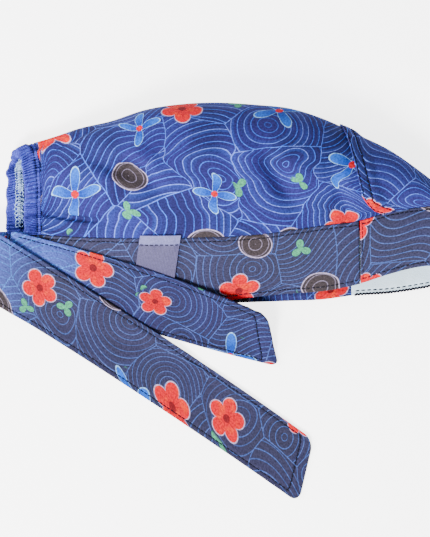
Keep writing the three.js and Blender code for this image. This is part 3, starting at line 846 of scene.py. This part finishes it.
crown_edge = 0.003  # share of the way over the crown that each rounded edge takes
near_columns = np.linspace(crown_edge, 0.5, 250)
far_columns = np.linspace(0.5, 1 - crown_edge, 72)[1:]
rounded = edge_rows * crown_edge
crown_w = np.concatenate([rounded, near_columns, far_columns, 1 - rounded[::-1]])
back_u = np.concatenate([
    np.linspace(0, 0.012, 8)[:-1],
    np.linspace(0.012, 0.13, 36)[:-1],
    np.linspace(0.13, 0.925, 72)[:-1],
    np.linspace(0.925, 1, 16),
])
w_grid = crown_w[None, :] + 0 * back_u[:, None]
back_end = crown_seam(w_grid) - 0.6
place_grid = back_u[:, None] * back_end
back_middle = crown(place_grid, w_grid)
nape_folds = 10
nape_gathers_between = 78


def nape_gathers(place, w):
    """Folds that run into the crown from its gathered nape edge, in mm: large ones, and finer between."""
    large = 1.1 * (np.cos(2 * math.pi * nape_folds * w) - 1) * np.exp(-place / 20)
    middle = 1.0 * ripple_noise(w * 30, place / 22, 4) * np.exp(-place / 17)
    uneven = nape_gathers_between * w + 0.6 * ripple_noise(w * 23, 0, 3)
    fine = 0.5 * np.cos(2 * math.pi * uneven) * np.exp(-place / 6)
    return (large + middle + fine) * smooth(w, 0.0, 0.02)


under_lap = smooth(place_grid, crown_seam(w_grid) - crown_lap - lap_ramp, crown_seam(w_grid) - crown_lap)
near_part = 1 - smooth(w_grid, 0.36, 0.5)
off_seams = smooth(w_grid, 0.0, 0.05) * (1 - smooth(place_grid, back_end - 24, back_end - 12))
waves = fine_wrinkles(back_middle[..., 0], back_middle[..., 1]) * smooth(place_grid, 2, 14)
folded = creased(back_middle[..., 0], back_middle[..., 1]) * smooth(w_grid, 0.0, 0.02)
back_lift = (
    nape_gathers(place_grid, w_grid)
    - lap_step * (1 - laps_outside(w_grid)) * under_lap
    + (waves * off_seams - folded) * near_part
)
crown_back, back_cloth = cloth_sheet(
    "crown_back_panel", (back_u, crown_w), back_middle, crown_wall, back_lift
)
crown_back.data.materials.append(crown_print)
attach(crown_back, "root")
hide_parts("crown_back")

lap_end = 0.2  # share of the front panel's rows that make its lap
lap_stitch = 1.3  # from the panel's edge
lap_edge_lift = 0.7  # how far the lap's edge stands up, in mm
lap_seam_dip = 0.5  # how far its seam is drawn in
front_u = np.concatenate([
    np.linspace(0, lap_end, 22)[:-1],
    np.linspace(lap_end, 0.36, 24)[:-1],
    np.linspace(0.36, 1, 56),
])
w_front = crown_w[None, :] + 0 * front_u[:, None]
u_front = front_u[:, None] + 0 * w_front
seam_front = crown_seam(w_front)
past_lap = np.clip((u_front - lap_end) / (1 - lap_end), 0, 1)
place_front = np.where(
    u_front < lap_end,
    mix(seam_front - crown_lap, seam_front, u_front / lap_end),
    mix(seam_front, crown_length, np.sin(past_lap * (math.pi / 2))),
)
front_middle = crown(place_front, w_front)
past_seam = place_front - seam_front
from_stitch = past_seam + crown_lap - lap_stitch
lap_fall = mix(lap_edge_lift, -lap_seam_dip, np.clip(1 + past_seam / crown_lap, 0, 1))
lap_fall = lap_fall * (1 - smooth(past_seam, -0.5, 4))
lap_fall = lap_fall * (1 - smooth(w_front, 0.34, 0.46))
front_lift = (
    (lap_step * (1 - smooth(past_seam, 0.5, lap_ramp + 3)) + lap_fall) * laps_outside(w_front)
    + drawn_in(from_stitch, w_front * 260, 21)
    + drawn_in(past_seam + 0.4, w_front * 260, 22)
) * (1 - smooth(u_front, 0.8, 0.95))
crown_front, front_cloth = cloth_sheet(
    "crown_front_panel", (front_u, crown_w), front_middle, crown_wall, front_lift, pole=True
)
crown_front.data.materials.append(crown_front_print)
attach(crown_front, "root")
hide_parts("crown_front")

lap_path = np.linspace(0.008, 0.62, 400)
thread("crown_lap_thread", [
    stitches(front_cloth, 0 * lap_path + lap_end * lap_stitch / crown_lap, lap_path, thick=0.6),
    stitches(front_cloth, 0 * lap_path + lap_end * (1 - 0.4 / crown_lap), lap_path, gap=0.2, thick=0.8),
], dark_thread)

# Brow band: a folded strip of the same cotton in three lengths, sewn to the crown's edge. Its front
# length goes round the forehead fold; the far side lies flat on the table.
band_split = 204.8
band_split_slant = 1.3
casing_width = 11.0


def near_band_height(x, t):
    """Height of the near side of the band: a line from rim to seam that bulges a little."""
    line = mix(height("rim_lift", x), height("seam_lift", x), t)
    return line + band_bulge * np.sin(math.pi * np.clip(t, 0, 1))


def band(x, is_near, t):
    """Middle of the band's cloth, in mm, for t from the rim to the seam."""
    rim = np.where(is_near, near_rim_y(x), far_rim_y(x))
    seam = np.where(is_near, seam_y(x), far_seam_y(x))
    y = mix(rim, seam, t)
    rim_fold = (height("rim_lift", x) + far_height) / 2
    fold = mix(rim_fold, height("fold", x), t)
    z = np.where(is_near, near_band_height(x, t) - pressed(x, y), far_height)
    return np.stack([x, y, fold + (z - fold) * nose(x)], axis=-1)


def round_forehead(share, start, t):
    """Middle of the front band, from its near end round the forehead to its far end."""
    is_near = share <= 0.5
    part = np.where(is_near, 2 * share, 2 - 2 * share)
    straight_end = crown_length - nose_length
    begin = start - band_split_slant * t
    round_x = straight_end + nose_length * np.sin(np.maximum(part - 0.5, 0) * math.pi)
    x = np.where(part < 0.5, mix(begin, straight_end, part / 0.5), round_x)
    return band(x, is_near, t)


rim_stitch = 3.5  # from the rim
seam_stitch = 2.6  # from the crown's seam
# The band's prints are greyed: painted sheen haze on its sloping faces; the front length is also brightened,
# painted light.
band_prints = {
    "near": printed_cotton("band_near_print", offset=(40, 15), turn=4, seed=3.0, greyed=0.85),
    "far": printed_cotton("band_far_print", offset=(34, 60), turn=4, seed=3.0, order=0.4, greyed=0.35),
}
brow_front_print = printed_cotton(
    "brow_front_print", offset=(95, 80), turn=-8, seed=4.0, greyed=0.85, tone=1.12
)
seam_tuck = 1.6  # how far the band's edge runs on under the crown's
far_end_gathers = 12  # folds across the far side's end at the nape
far_gather_size = 0.9
far_gather_reach = 12.0
band_size = band_height + seam_tuck
rim_stitch_at, seam_stitch_at = rim_stitch / band_size, (band_height - seam_stitch) / band_size
band_rows = close_rows(
    row_shares(40, 0.02), [rim_stitch_at, seam_stitch_at, band_height / band_size], band_size
)
band_t = band_rows * band_size / band_height


def band_lift(x, t):
    """Stitch grooves and soft waves of the brow band, in mm; it is crumpled towards the nape."""
    waves = 0.35 * ripple_noise(x / 26, t * 2.2, 31) + 0.12 * ripple_noise(x / 7, t * 7, 32)
    crumpled = 0.7 * ripple_noise(x / 9 + t * 1.5, t * 4, 33) * np.exp(-np.maximum(x, 0) / 30)
    away = np.sin(math.pi * np.clip(t, 0, 1)) ** 0.5
    grooves = drawn_in(t * band_height - rim_stitch, x, 34)
    grooves = grooves + drawn_in((1 - t) * band_height - seam_stitch, x, 35)
    tucked = 2.0 * smooth(t * band_height, band_height - 0.5, band_height + 0.7)
    return (waves + crumpled) * away + grooves - tucked


band_runs = []
for side, start in (("near", -casing_width), ("far", -casing_width - nape_shift)):
    is_near = side == "near"
    band_u = row_shares(250, 0.0045)
    side_t = band_t if is_near else band_t[::-1]
    side_rows = band_rows if is_near else 1 - band_rows[::-1]
    t_grid = side_t[None, :] + 0 * band_u[:, None]
    x_grid = mix(start, band_split - band_split_slant * t_grid - seam_gap, band_u[:, None])
    middle = band(x_grid, is_near, t_grid)
    lift = band_lift(x_grid, t_grid)
    if not is_near:
        drawn_up = np.exp(-(x_grid - start) / far_gather_reach) * smooth(x_grid, start, start + 2)
        gathers = np.cos(2 * math.pi * (far_end_gathers * t_grid + ripple_noise(t_grid * 6, 0, 36)))
        lift = lift + far_gather_size * gathers * drawn_up
    piece, cloth = cloth_sheet(f"brow_band_{side}_side", (band_u, side_rows), middle, band_wall, lift)
    piece.data.materials.append(band_prints[side])
    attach(piece, "root")
    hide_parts(f"brow_band_{side}")
    path = np.linspace(0.004, 0.996, 600)
    for row in (rim_stitch_at, seam_stitch_at):
        band_runs.append(stitches(cloth, path, 0 * path + (row if is_near else 1 - row)))

ring_u = row_shares(240, 0.007)
t_ring = band_t[None, :] + 0 * ring_u[:, None]
ring_middle = round_forehead(ring_u[:, None] + 0 * t_ring, band_split, t_ring)
ring_run = arc_lengths(ring_middle, 0)
front_run = ring_run + 400  # so that its waves aren't those of the sides
brow_front, brow_front_cloth = cloth_sheet(
    "brow_band_front_length", (ring_u, band_rows), ring_middle, band_wall, band_lift(front_run, t_ring)
)
brow_front.data.materials.append(brow_front_print)
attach(brow_front, "root")
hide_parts("brow_band_front")
path = np.linspace(0.006, 0.994, 600)
for row in (rim_stitch_at, seam_stitch_at):
    band_runs.append(stitches(brow_front_cloth, path, 0 * path + row))
across_path = np.linspace(0.05, 0.95, 100)
band_runs.append(stitches(brow_front_cloth, 0 * across_path + 0.007, across_path, thick=0.45, gap=0.3))
thread("brow_band_thread", band_runs, dark_thread)

# Sweatband: a white towelling strip sewn inside the front of the band, with its lower edge
# topstitched and the edges whipped with dark thread.
sweatband_wall = 1.6
sweatband_share = 0.84  # of the band's height
sweatband_past = 5.5  # how far it runs on past the front length's end
towel_stitch = 2.6  # from its lower edge
towel_v = towel_stitch / (sweatband_share * band_height)
towel_t = close_rows(row_shares(36, 0.02), [towel_v], band_height)
t_towel = mix(0.0, sweatband_share, towel_t[None, :] + 0 * ring_u[:, None])
towel_middle = round_forehead(ring_u[:, None] + 0 * t_towel, band_split - sweatband_past, t_towel)
towel_inset = band_wall / 2 + 1.5 * layer_gap + sweatband_wall / 2
towel_run = arc_lengths(towel_middle, 0)
towel_groove = 0.8 * drawn_in(t_towel * band_height - towel_stitch, towel_run, 42)
towel_lift = 0.15 * ripple_noise(towel_run / 6, t_towel * 8, 41) - towel_groove
sweatband, towel_cloth = cloth_sheet(
    "sweatband_lining", (ring_u, towel_t), towel_middle, sweatband_wall, towel_lift - towel_inset
)

towelling = bpy.data.materials.new("white_lining")
towelling.use_nodes = True
tree = towelling.node_tree
towel_shader = tree.nodes["Principled BSDF"]
towel_spot = cloth_millimetres(tree)
terry = add_node(
    tree, "ShaderNodeTexVoronoi", {"Vector": towel_spot, "Scale": 1.5}, voronoi_dimensions="2D"
)
loops = terry.outputs["Distance"]
soiled = add_node(tree, "ShaderNodeTexNoise", {"Vector": towel_spot, "Scale": 0.05, "Detail": 2.0})
towel_white = blend_colours(tree, soiled.outputs["Fac"], (0.66, 0.86, 1.0), (0.76, 0.93, 1.0))
tree.links.new(
    blend_colours(tree, maths(tree, "MULTIPLY", loops, 0.3), towel_white, (0.30, 0.42, 0.80)),
    towel_shader.inputs["Base Color"],
)
towel_bump = add_node(
    tree, "ShaderNodeBump", {"Height": loops, "Strength": 0.5, "Distance": 0.0003}, invert=True
)
tree.links.new(towel_bump.outputs["Normal"], towel_shader.inputs["Normal"])
towel_shader.inputs["Roughness"].default_value = 0.95
towel_shader.inputs["Sheen Weight"].default_value = 0.05
sweatband.data.materials.append(towelling)
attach(sweatband, "root")
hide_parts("sweatband")
path = np.linspace(0.01, 0.99, 600)
thread("sweatband_thread", [
    stitches(towel_cloth, path, 0 * path + towel_v, side=-1, gap=1.1, thick=0.8),
    stitches(towel_cloth, path, 0 * path + 0.006, side=-1, long=2.1, gap=0, thick=1.5, slant=0.5),
], dark_thread)

# Nape casing: a folded strip of the print with elastic inside, drawn up in fine gathers round the
# nape opening and overlocked to the crown. Its far end laps over the band's.
casing_wall = 3.2
casing_seam_wall = 1.5  # its thickness where it is sewn to the crown
casing_draw = 0.09  # how much the elastic draws its free edge in
casing_folds = 16
casing_gathers = 84
casing_edge_waves = 0.9
casing_bunch = 0.7  # how much deeper the gathers are where the casing turns over at its middle
casing_stitch = 2.4  # from the crown
casing_join = 0.15  # from the crown's edge, on the near half
casing_far_tuck = 0.45  # how much further right it runs on the far half
casing_far_lap = 8.0  # how far its far end laps over the band's
casing_u = row_shares(30, 0.07)
casing_v = row_shares(760, 0.003)
v_casing = casing_v[None, :] + 0 * casing_u[:, None]
u_casing = casing_u[:, None] + 0 * v_casing
casing_middle = crown(0.0, v_casing)
casing_rise = casing_middle[..., 1] - mix(seam_y(0.0), far_seam_y(0.0), v_casing)
casing_seam_place = casing_join - casing_far_tuck * smooth(v_casing, 0.5, 0.6)
casing_middle[..., 0] -= mix(casing_width, casing_seam_place, u_casing)
casing_middle[..., 0] -= casing_edge_waves * ripple_noise(v_casing * 40, 0, 54) * (1 - u_casing)
casing_middle[..., 1] -= casing_rise * casing_draw * (1 - u_casing)
casing_middle[..., 1] -= casing_far_lap * smooth(v_casing, 0.86, 1.0)
casing_middle[..., 2] += (casing_wall + band_wall) / 2 * smooth(v_casing, 0.84, 0.95)
large_gathers = 0.4 * (np.cos(2 * math.pi * casing_folds * v_casing) - 1)
wander = 0.8 * ripple_noise(v_casing * 19, u_casing * 1.4, 51)
fine_gathers = np.cos(2 * math.pi * (casing_gathers * v_casing + wander))
gather_size = 0.95 + 0.45 * ripple_noise(v_casing * 33, u_casing * 2, 52)
gather_size = gather_size + casing_bunch * np.exp(-(((v_casing - 0.5) / 0.08) ** 2))
casing_sewn = drawn_in((1 - u_casing) * casing_width - casing_stitch, v_casing * 160, 53)
own_lift = large_gathers + gather_size * fine_gathers - (casing_wall - band_wall) / 2
at_seam = smooth(u_casing, 0.62, 1.0)
casing_lift = mix(own_lift, nape_gathers(0.0, v_casing), at_seam) + 1.6 * casing_sewn
casing_thick = mix(casing_wall, casing_seam_wall, smooth(u_casing, 0.7, 0.92))
nape_casing, casing_cloth = cloth_sheet(
    "nape_casing_gathered", (casing_u, casing_v), casing_middle, casing_thick, casing_lift
)
# The casing's print is paled all over: painted light on the gathered casing, which lies in shade.
casing_print = printed_cotton("casing_print", offset=(12, 4), seed=1.0, motifs=False, painted_light=0.4)
nape_casing.data.materials.append(casing_print)
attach(nape_casing, "root")
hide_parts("nape_casing")
path = np.linspace(0.01, 0.99, 500)
thread("nape_casing_thread", [
    stitches(casing_cloth, 0 * path + 1 - casing_stitch / casing_width, path, long=1.6, gap=0.5, thick=0.6),
], dark_thread)

# Overlocking: four pale polyester threads, looped by machine over the raw edge of the seam between the
# casing and the crown. They lie on the far half's inner face and show through the nape opening.
overlock_thread = thread_finish("overlock_thread", (0.44, 0.66, 1.0), 0.7)
overlock_loops = 40
points_in_loop = 8
overlock_path = np.linspace(0.52, 0.975, overlock_loops * points_in_loop)
overlock_widest = 0.68  # where the loops spread out most


def overlocked(low, high, phase, radius, seed):
    """One thread of the overlocking: it swings between two lines of the casing's inner face."""
    swing = np.sin(np.arange(len(overlock_path)) / points_in_loop * 2 * math.pi + phase)
    narrow = 0.75
    wide = narrow + 1.0 * np.exp(-(((overlock_path - overlock_widest) / 0.09) ** 2))
    wide = wide * (1 + 0.35 * ripple_noise(overlock_path * 26, 0, 68))
    middle_u = mix(low, high, 0.5) - 0.12 * (wide - narrow)
    stray = ripple_noise(overlock_path * 90, 0, seed)
    u_path = middle_u + (high - low) / 2 * wide * (swing * (0.8 + 0.5 * stray) + 0.3 * stray)
    point, out = on_cloth(casing_cloth, np.clip(u_path, 0, 1), overlock_path, side=-1)
    lifted = 0.5 + 0.3 * ripple_noise(overlock_path * 120, 0, seed + 1)
    return (point + out * lifted[:, None])[None], out[None], np.full((1, len(overlock_path)), radius)


thread("nape_overlock_thread", [
    overlocked(0.52, 0.98, 0.0, 0.26, 61),
    overlocked(0.62, 0.94, 2.2, 0.22, 63),
    overlocked(0.86, 0.99, 1.0, 0.26, 67),
    overlocked(0.48, 0.62, 3.0, 0.24, 69),
], overlock_thread)

# Label: a bare tape woven from grey polyester. Its top is turned over and caught in the stitching along
# the top of the near band, and the rest hangs down over the band.
label_width = 26.0
label_length = 30.0
label_wall = 0.8
label_place = 64.0  # from the nape
label_above_seam = 2.5
label_slant = 0.16  # how far it leans to the left as it hangs down


def near_side(x, y):
    """Height of the near side's middle seen from above; past the rim it falls on as a drape."""
    at = np.maximum(x, -casing_width)
    rim, seam = near_rim_y(at), seam_y(at)
    fall = height("rim_lift", at) - 0.8 * (rim - y)
    on_band = near_band_height(at, (y - rim) / (seam - rim)) - pressed(at, y)
    straight = (fold_y(at) - near_round - seam) / (1 - round_share)
    swell = np.sin(np.clip((y - seam) / straight / swell_share, 0, 1) * (math.pi / 2))
    on_crown = mix(height("seam_lift", at), height("puff", at), swell) - pressed(at, y)
    return np.where(y < rim, fall, np.where(y <= seam, on_band, on_crown))


label_stitch = 5.9  # from its top edge
label_u = row_shares(60, 0.015)
label_v = close_rows(row_shares(66, 0.013), [1 - label_stitch / label_length], label_length)
drop = (1 - label_v[None, :]) * label_length + 0 * label_u[:, None]
label_x = label_place + label_u[:, None] * label_width - label_slant * drop
label_y = seam_y(label_x) + label_above_seam - drop
label_middle = np.stack([label_x, label_y, near_side(label_x, label_y)], axis=-1)
label_raise = (band_wall + label_wall) / 2 + layer_gap
label_waves = 0.35 * (1 + ripple_noise(label_x / 11, label_y / 13, 71))
label_lift = label_raise + label_waves + drawn_in(drop - label_stitch, label_x, 72)
label, label_cloth = cloth_sheet("label_tape", (label_u, label_v), label_middle, label_wall, label_lift)

woven_tape = bpy.data.materials.new("woven_label")
woven_tape.use_nodes = True
tree = woven_tape.node_tree
tape_shader = tree.nodes["Principled BSDF"]
tape_spot = cloth_millimetres(tree)
ribs = add_node(tree, "ShaderNodeTexWave", {"Vector": tape_spot, "Scale": 0.5}, bands_direction="Y")
picks = add_node(tree, "ShaderNodeTexWave", {"Vector": tape_spot, "Scale": 0.32}, bands_direction="X")
tape_weave = maths(tree, "MULTIPLY", ribs.outputs["Fac"], picks.outputs["Fac"])
tape_parts = add_node(tree, "ShaderNodeSeparateXYZ", {"Vector": tape_spot})
label_arc = arc_lengths(label_cloth[1], 1).mean(axis=0)
fold_line = float(np.interp(1 - label_stitch / label_length, label_v, label_arc))
turned_over = step_between(tree, tape_parts.outputs["Y"], fold_line - 0.6, fold_line + 0.2)
tape_noise = add_node(tree, "ShaderNodeTexNoise", {"Vector": tape_spot, "Scale": 0.6, "Detail": 3.0})
tape_grey = blend_colours(tree, turned_over, (0.066, 0.058, 0.145), (0.150, 0.150, 0.340))
tape_fibre = maths(tree, "MULTIPLY_ADD", tape_noise.outputs["Fac"], 0.7, 0.35)
tape_shade = maths(tree, "MULTIPLY_ADD", tape_weave, 0.5, tape_fibre)
tape_colour = add_node(
    tree, "ShaderNodeVectorMath", {0: tape_grey, "Scale": tape_shade}, operation="SCALE"
)
tree.links.new(tape_colour.outputs["Vector"], tape_shader.inputs["Base Color"])
tape_bump = add_node(tree, "ShaderNodeBump", {"Height": tape_weave, "Strength": 0.5, "Distance": 0.0002})
tree.links.new(tape_bump.outputs["Normal"], tape_shader.inputs["Normal"])
tape_shader.inputs["Roughness"].default_value = 0.5
tape_shader.inputs["Specular IOR Level"].default_value = 0.2
tape_shader.inputs["Sheen Weight"].default_value = 0.03
label.data.materials.append(woven_tape)
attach(label, "root")
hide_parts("label")
path = np.linspace(0.01, 0.99, 60)
thread("label_thread", [
    stitches(label_cloth, path, 0 * path + 1 - label_stitch / label_length),
], dark_thread)

# Ties: two long flat tubes of the print, sewn to the band's ends at the nape. Both are folded back
# to the right; the far one crosses over the near one, and their slanted tips lie on the table.
tie_wall = 1.6
tip_corner = 7.0
tie_columns = (
    "width", "root_length", "root_top", "heading", "bend", "run_length", "narrowing", "curl", "slant"
)
ties = {
    "near": (38.0, 7.0, -2.0, 14.5, 6.0, 176.0, 0.3, 14.0, 0.45),
    "far": (39.5, 12.0, -2.8, 31.0, 4.5, 246.0, 0.02, 0.0, 0.4),
}
root_tuck = 0.4  # how far a tie's sewn end goes into the band's
root_end = 0.08  # share of the tie's rows in its sewn end
roll_end = 0.16  # share up to the end of the roll at its crease
run_share = 1 - roll_end
crease_rise = 4.4  # how high it stands off the band beside the crease
crease_fade = 26.0
steep = 1.4  # how much more room a layer takes where it lies on a slope
drape_softness = 2.4


def tie_value(side, column):
    return ties[side][tie_columns.index(column)]


def landed(line):
    """Height of cloth that lies on a falling line where that is above the table, and else on the table."""
    low = tie_wall / 2
    return low + drape_softness * np.logaddexp(0, (line - low) / drape_softness)


def tie_rise(x, y):
    """How far a tie's middle lies above that of the near side, on the band, the label and the crease."""
    on_band = steep * ((band_wall + tie_wall) / 2 + layer_gap)
    label_middle_x = label_place + label_width / 2 - label_slant * (label_length / 2)
    beside_label = np.abs(x - label_middle_x) - label_width / 2
    below_label = seam_y(x) + label_above_seam - label_length - y
    on_label = (1 - smooth(beside_label, 4, 12)) * (1 - smooth(below_label, 2, 10))
    crease = 1 - smooth(x, -casing_width, crease_fade - casing_width)
    return mix(on_band, crease_rise, crease) + steep * (label_wall + layer_gap) * on_label


def near_tie_height(x, y):
    return landed(near_side(x, y) + tie_rise(x, y))


def tie_crease(side):
    band_end = -casing_width - (nape_shift if side == "far" else 0)
    x = band_end - seam_gap - tie_value(side, "root_length")
    return band_end + root_tuck, x, seam_y(0.0) - tie_value(side, "root_top") - tie_value(side, "width") / 2


def tie_run(side, run):
    """A tie's centre line from its crease, seen from above, with the direction of its run."""
    _, x, y = tie_crease(side)
    length = tie_value(side, "run_length")
    beyond = 30  # the line goes on so far past both of its ends
    steps = np.linspace(-beyond, length + beyond, 1200)
    bend = tie_value(side, "bend") * np.maximum(0, steps) / length
    turn = np.radians(tie_value(side, "heading") + bend)
    step = steps[1] - steps[0]
    start = np.searchsorted(steps, 0)
    line_x = np.cumsum(np.cos(turn)) * step
    line_y = -np.cumsum(np.sin(turn)) * step
    line_x += x - line_x[start]
    line_y += y - line_y[start]
    return np.interp(run, steps, line_x), np.interp(run, steps, line_y), np.interp(run, steps, turn)


def tie_half_width(side, share):
    """Half of a tie's width, at a share of its run from the crease."""
    return 0.5 * tie_value(side, "width") * (1 - tie_value(side, "narrowing") * share**4)


def over_near_tie(x, y):
    """1 where the far tie has the near tie under it."""
    _, crease_x, _ = tie_crease("near")
    length = tie_value("near", "run_length")
    part = np.clip((x - crease_x) / length, 0, 1)
    at_x, at_y, turn = tie_run("near", part * length)
    below = (at_y - y) * np.cos(turn) + (at_x - x) * np.sin(turn)
    return 1 - smooth(below - tie_half_width("near", part), 2, 12)


def far_tie_height(x, y):
    return near_tie_height(x, y) + steep * (tie_wall + layer_gap) * over_near_tie(x, y)


def tie_middle(side, shares_along, shares_across):
    """Middle of a tie's cloth: from its sewn end round the crease to the tip, lower to upper edge."""
    upper = near_tie_height if side == "near" else far_tie_height
    width, length = tie_value(side, "width"), tie_value(side, "run_length")
    root_x, crease_x, crease_y = tie_crease(side)
    v = shares_across[None, :] + 0 * shares_along[:, None]
    u = shares_along[:, None] + 0 * v
    across = 2 * v - 1
    c = across * width / 2
    skew = math.tan(math.radians(tie_value(side, "heading")) / 2)
    edge_x, edge_y = crease_x + c * skew, crease_y + c
    low = near_side(edge_x, edge_y) if side == "near" else 0 * c + tie_wall / 2
    roll = (upper(edge_x, edge_y) - low) / 2
    past = np.clip(1 - (1 - np.abs(across)) * width / 2 / tip_corner, 0, 1)
    reach = length - c * tie_value(side, "slant") - tip_corner * (1 - np.sqrt(1 - past * past))
    root_part = np.clip(u / root_end, 0, 1)
    turn_part = np.clip((u - root_end) / (roll_end - root_end), 0, 1) * math.pi
    root_line_x = mix(root_x, edge_x, root_part)
    root_z = near_side(root_line_x, edge_y) if side == "near" else low
    root = np.stack([root_line_x, edge_y, root_z + 0 * c], axis=-1)
    rolled_x, rolled_z = edge_x - roll * np.sin(turn_part), low + roll * (1 - np.cos(turn_part))
    rolled = np.stack([rolled_x, edge_y, rolled_z], axis=-1)
    share = np.clip((u - roll_end) / run_share, 0, 1)
    run = mix(-c * skew, reach, share)
    at_x, at_y, turn = tie_run(side, run)
    half = across * tie_half_width(side, np.maximum(0, run / length))
    x, y = at_x + half * np.sin(turn), at_y + half * np.cos(turn)
    lifted = tie_value(side, "curl") * smooth(run / length, 0.55, 1) * v * v
    laid = np.stack([x, y, upper(x, y) + lifted], axis=-1)
    is_root, is_rolled = (u <= root_end)[..., None], (u <= roll_end)[..., None]
    return np.where(is_root, root, np.where(is_rolled, rolled, laid))


tie_edge = 0.004  # share of the rows that each rounded end takes
edge_stitch = 2.8  # from the tie's edges
end_stitches = {"near": 10.0, "far": 8.5}  # from the tip
upper_fall_at_crease, upper_fall_on_run = 1.5, 0.9  # how far the near tie's upper edge droops
# The ties' prints are greyed and darkened, painted sheen haze and painted shade, and painted paler near the
# sewn end, a painted glare on the roll.
tie_prints = {
    "near": printed_cotton(
        "tie_near_print", offset=(54, 20), turn=12, seed=5.0, order=0.7, greyed=0.6, tone=0.78, painted_glare=80
    ),
    "far": printed_cotton(
        "tie_far_print", offset=(30, 62), turn=-20, seed=6.0, order=0.7, greyed=0.8, tone=0.82, painted_glare=95
    ),
}


def tie_lift(side, run, reach, v):
    """Soft waves, turned-in edges and stitch grooves of a tie, in mm."""
    width = tie_value(side, "width")
    from_edge = np.minimum(v, 1 - v) * width
    broad = 0.45 * (1 + ripple_noise(run / 24, v * 1.6, 81 + len(side)))
    small = 0.12 * ripple_noise(run / 6, v * 6, 82)
    waves = broad + small
    turned_in = 0.25 * (1 - smooth(from_edge, 5, 8))
    if side == "near":
        upper_fall = mix(upper_fall_at_crease, upper_fall_on_run, smooth(run, 40, 60))
        turned_in = turned_in - upper_fall * (1 - smooth((1 - v) * width, 1, 10))
    crumpled = 0.5 * ripple_noise(run / 5, v * 6, 83) * smooth(run, reach - end_stitches[side], reach - 2)
    grooves = drawn_in(from_edge - edge_stitch, run, 84, 0.1)
    end_groove = drawn_in(reach - run - end_stitches[side], v * width, 85, 0.2)
    return waves + turned_in + crumpled + 0.8 * (grooves + end_groove)


for side in ("near", "far"):
    width, length = tie_value(side, "width"), tie_value(side, "run_length")
    edge_v = edge_stitch / width
    end_u = 1 - run_share * end_stitches[side] / length
    tie_across = close_rows(row_shares(44, 0.02), [edge_v, 1 - edge_v], width)
    run_shares = close_rows(row_shares(280, tie_edge), [1 - end_stitches[side] / length], length)
    run_shares = run_shares[run_shares > 0.75 * tie_edge]
    tie_along = np.concatenate([
        edge_rows * tie_edge,
        np.linspace(tie_edge, root_end, 12)[:-1],
        np.linspace(root_end, roll_end, 24),
        run_shares * run_share + roll_end,
    ])
    middle = tie_middle(side, tie_along, tie_across)
    v_grid = tie_across[None, :] + 0 * tie_along[:, None]
    run_grid = (tie_along[:, None] - roll_end) / run_share * length + 0 * v_grid
    on_run = smooth(run_grid, 0, 14)
    lift = tie_lift(side, run_grid, length, v_grid) * on_run
    piece, cloth = cloth_sheet(f"tie_{side}_strap", (tie_along, tie_across), middle, tie_wall, lift)
    piece.data.materials.append(tie_prints[side])
    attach(piece, "root")
    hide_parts(f"tie_{side}")
    path = np.linspace(roll_end + 0.01, end_u + 0.005, 600)
    end_path = np.linspace(edge_v, 1 - edge_v, 80)
    thread(f"tie_{side}_thread", [
        stitches(cloth, path, 0 * path + edge_v, gap=0.3),
        stitches(cloth, path, 0 * path + 1 - edge_v, gap=0.3),
        stitches(cloth, 0 * end_path + end_u, end_path, gap=0.2, thick=0.9),
    ], dark_thread)
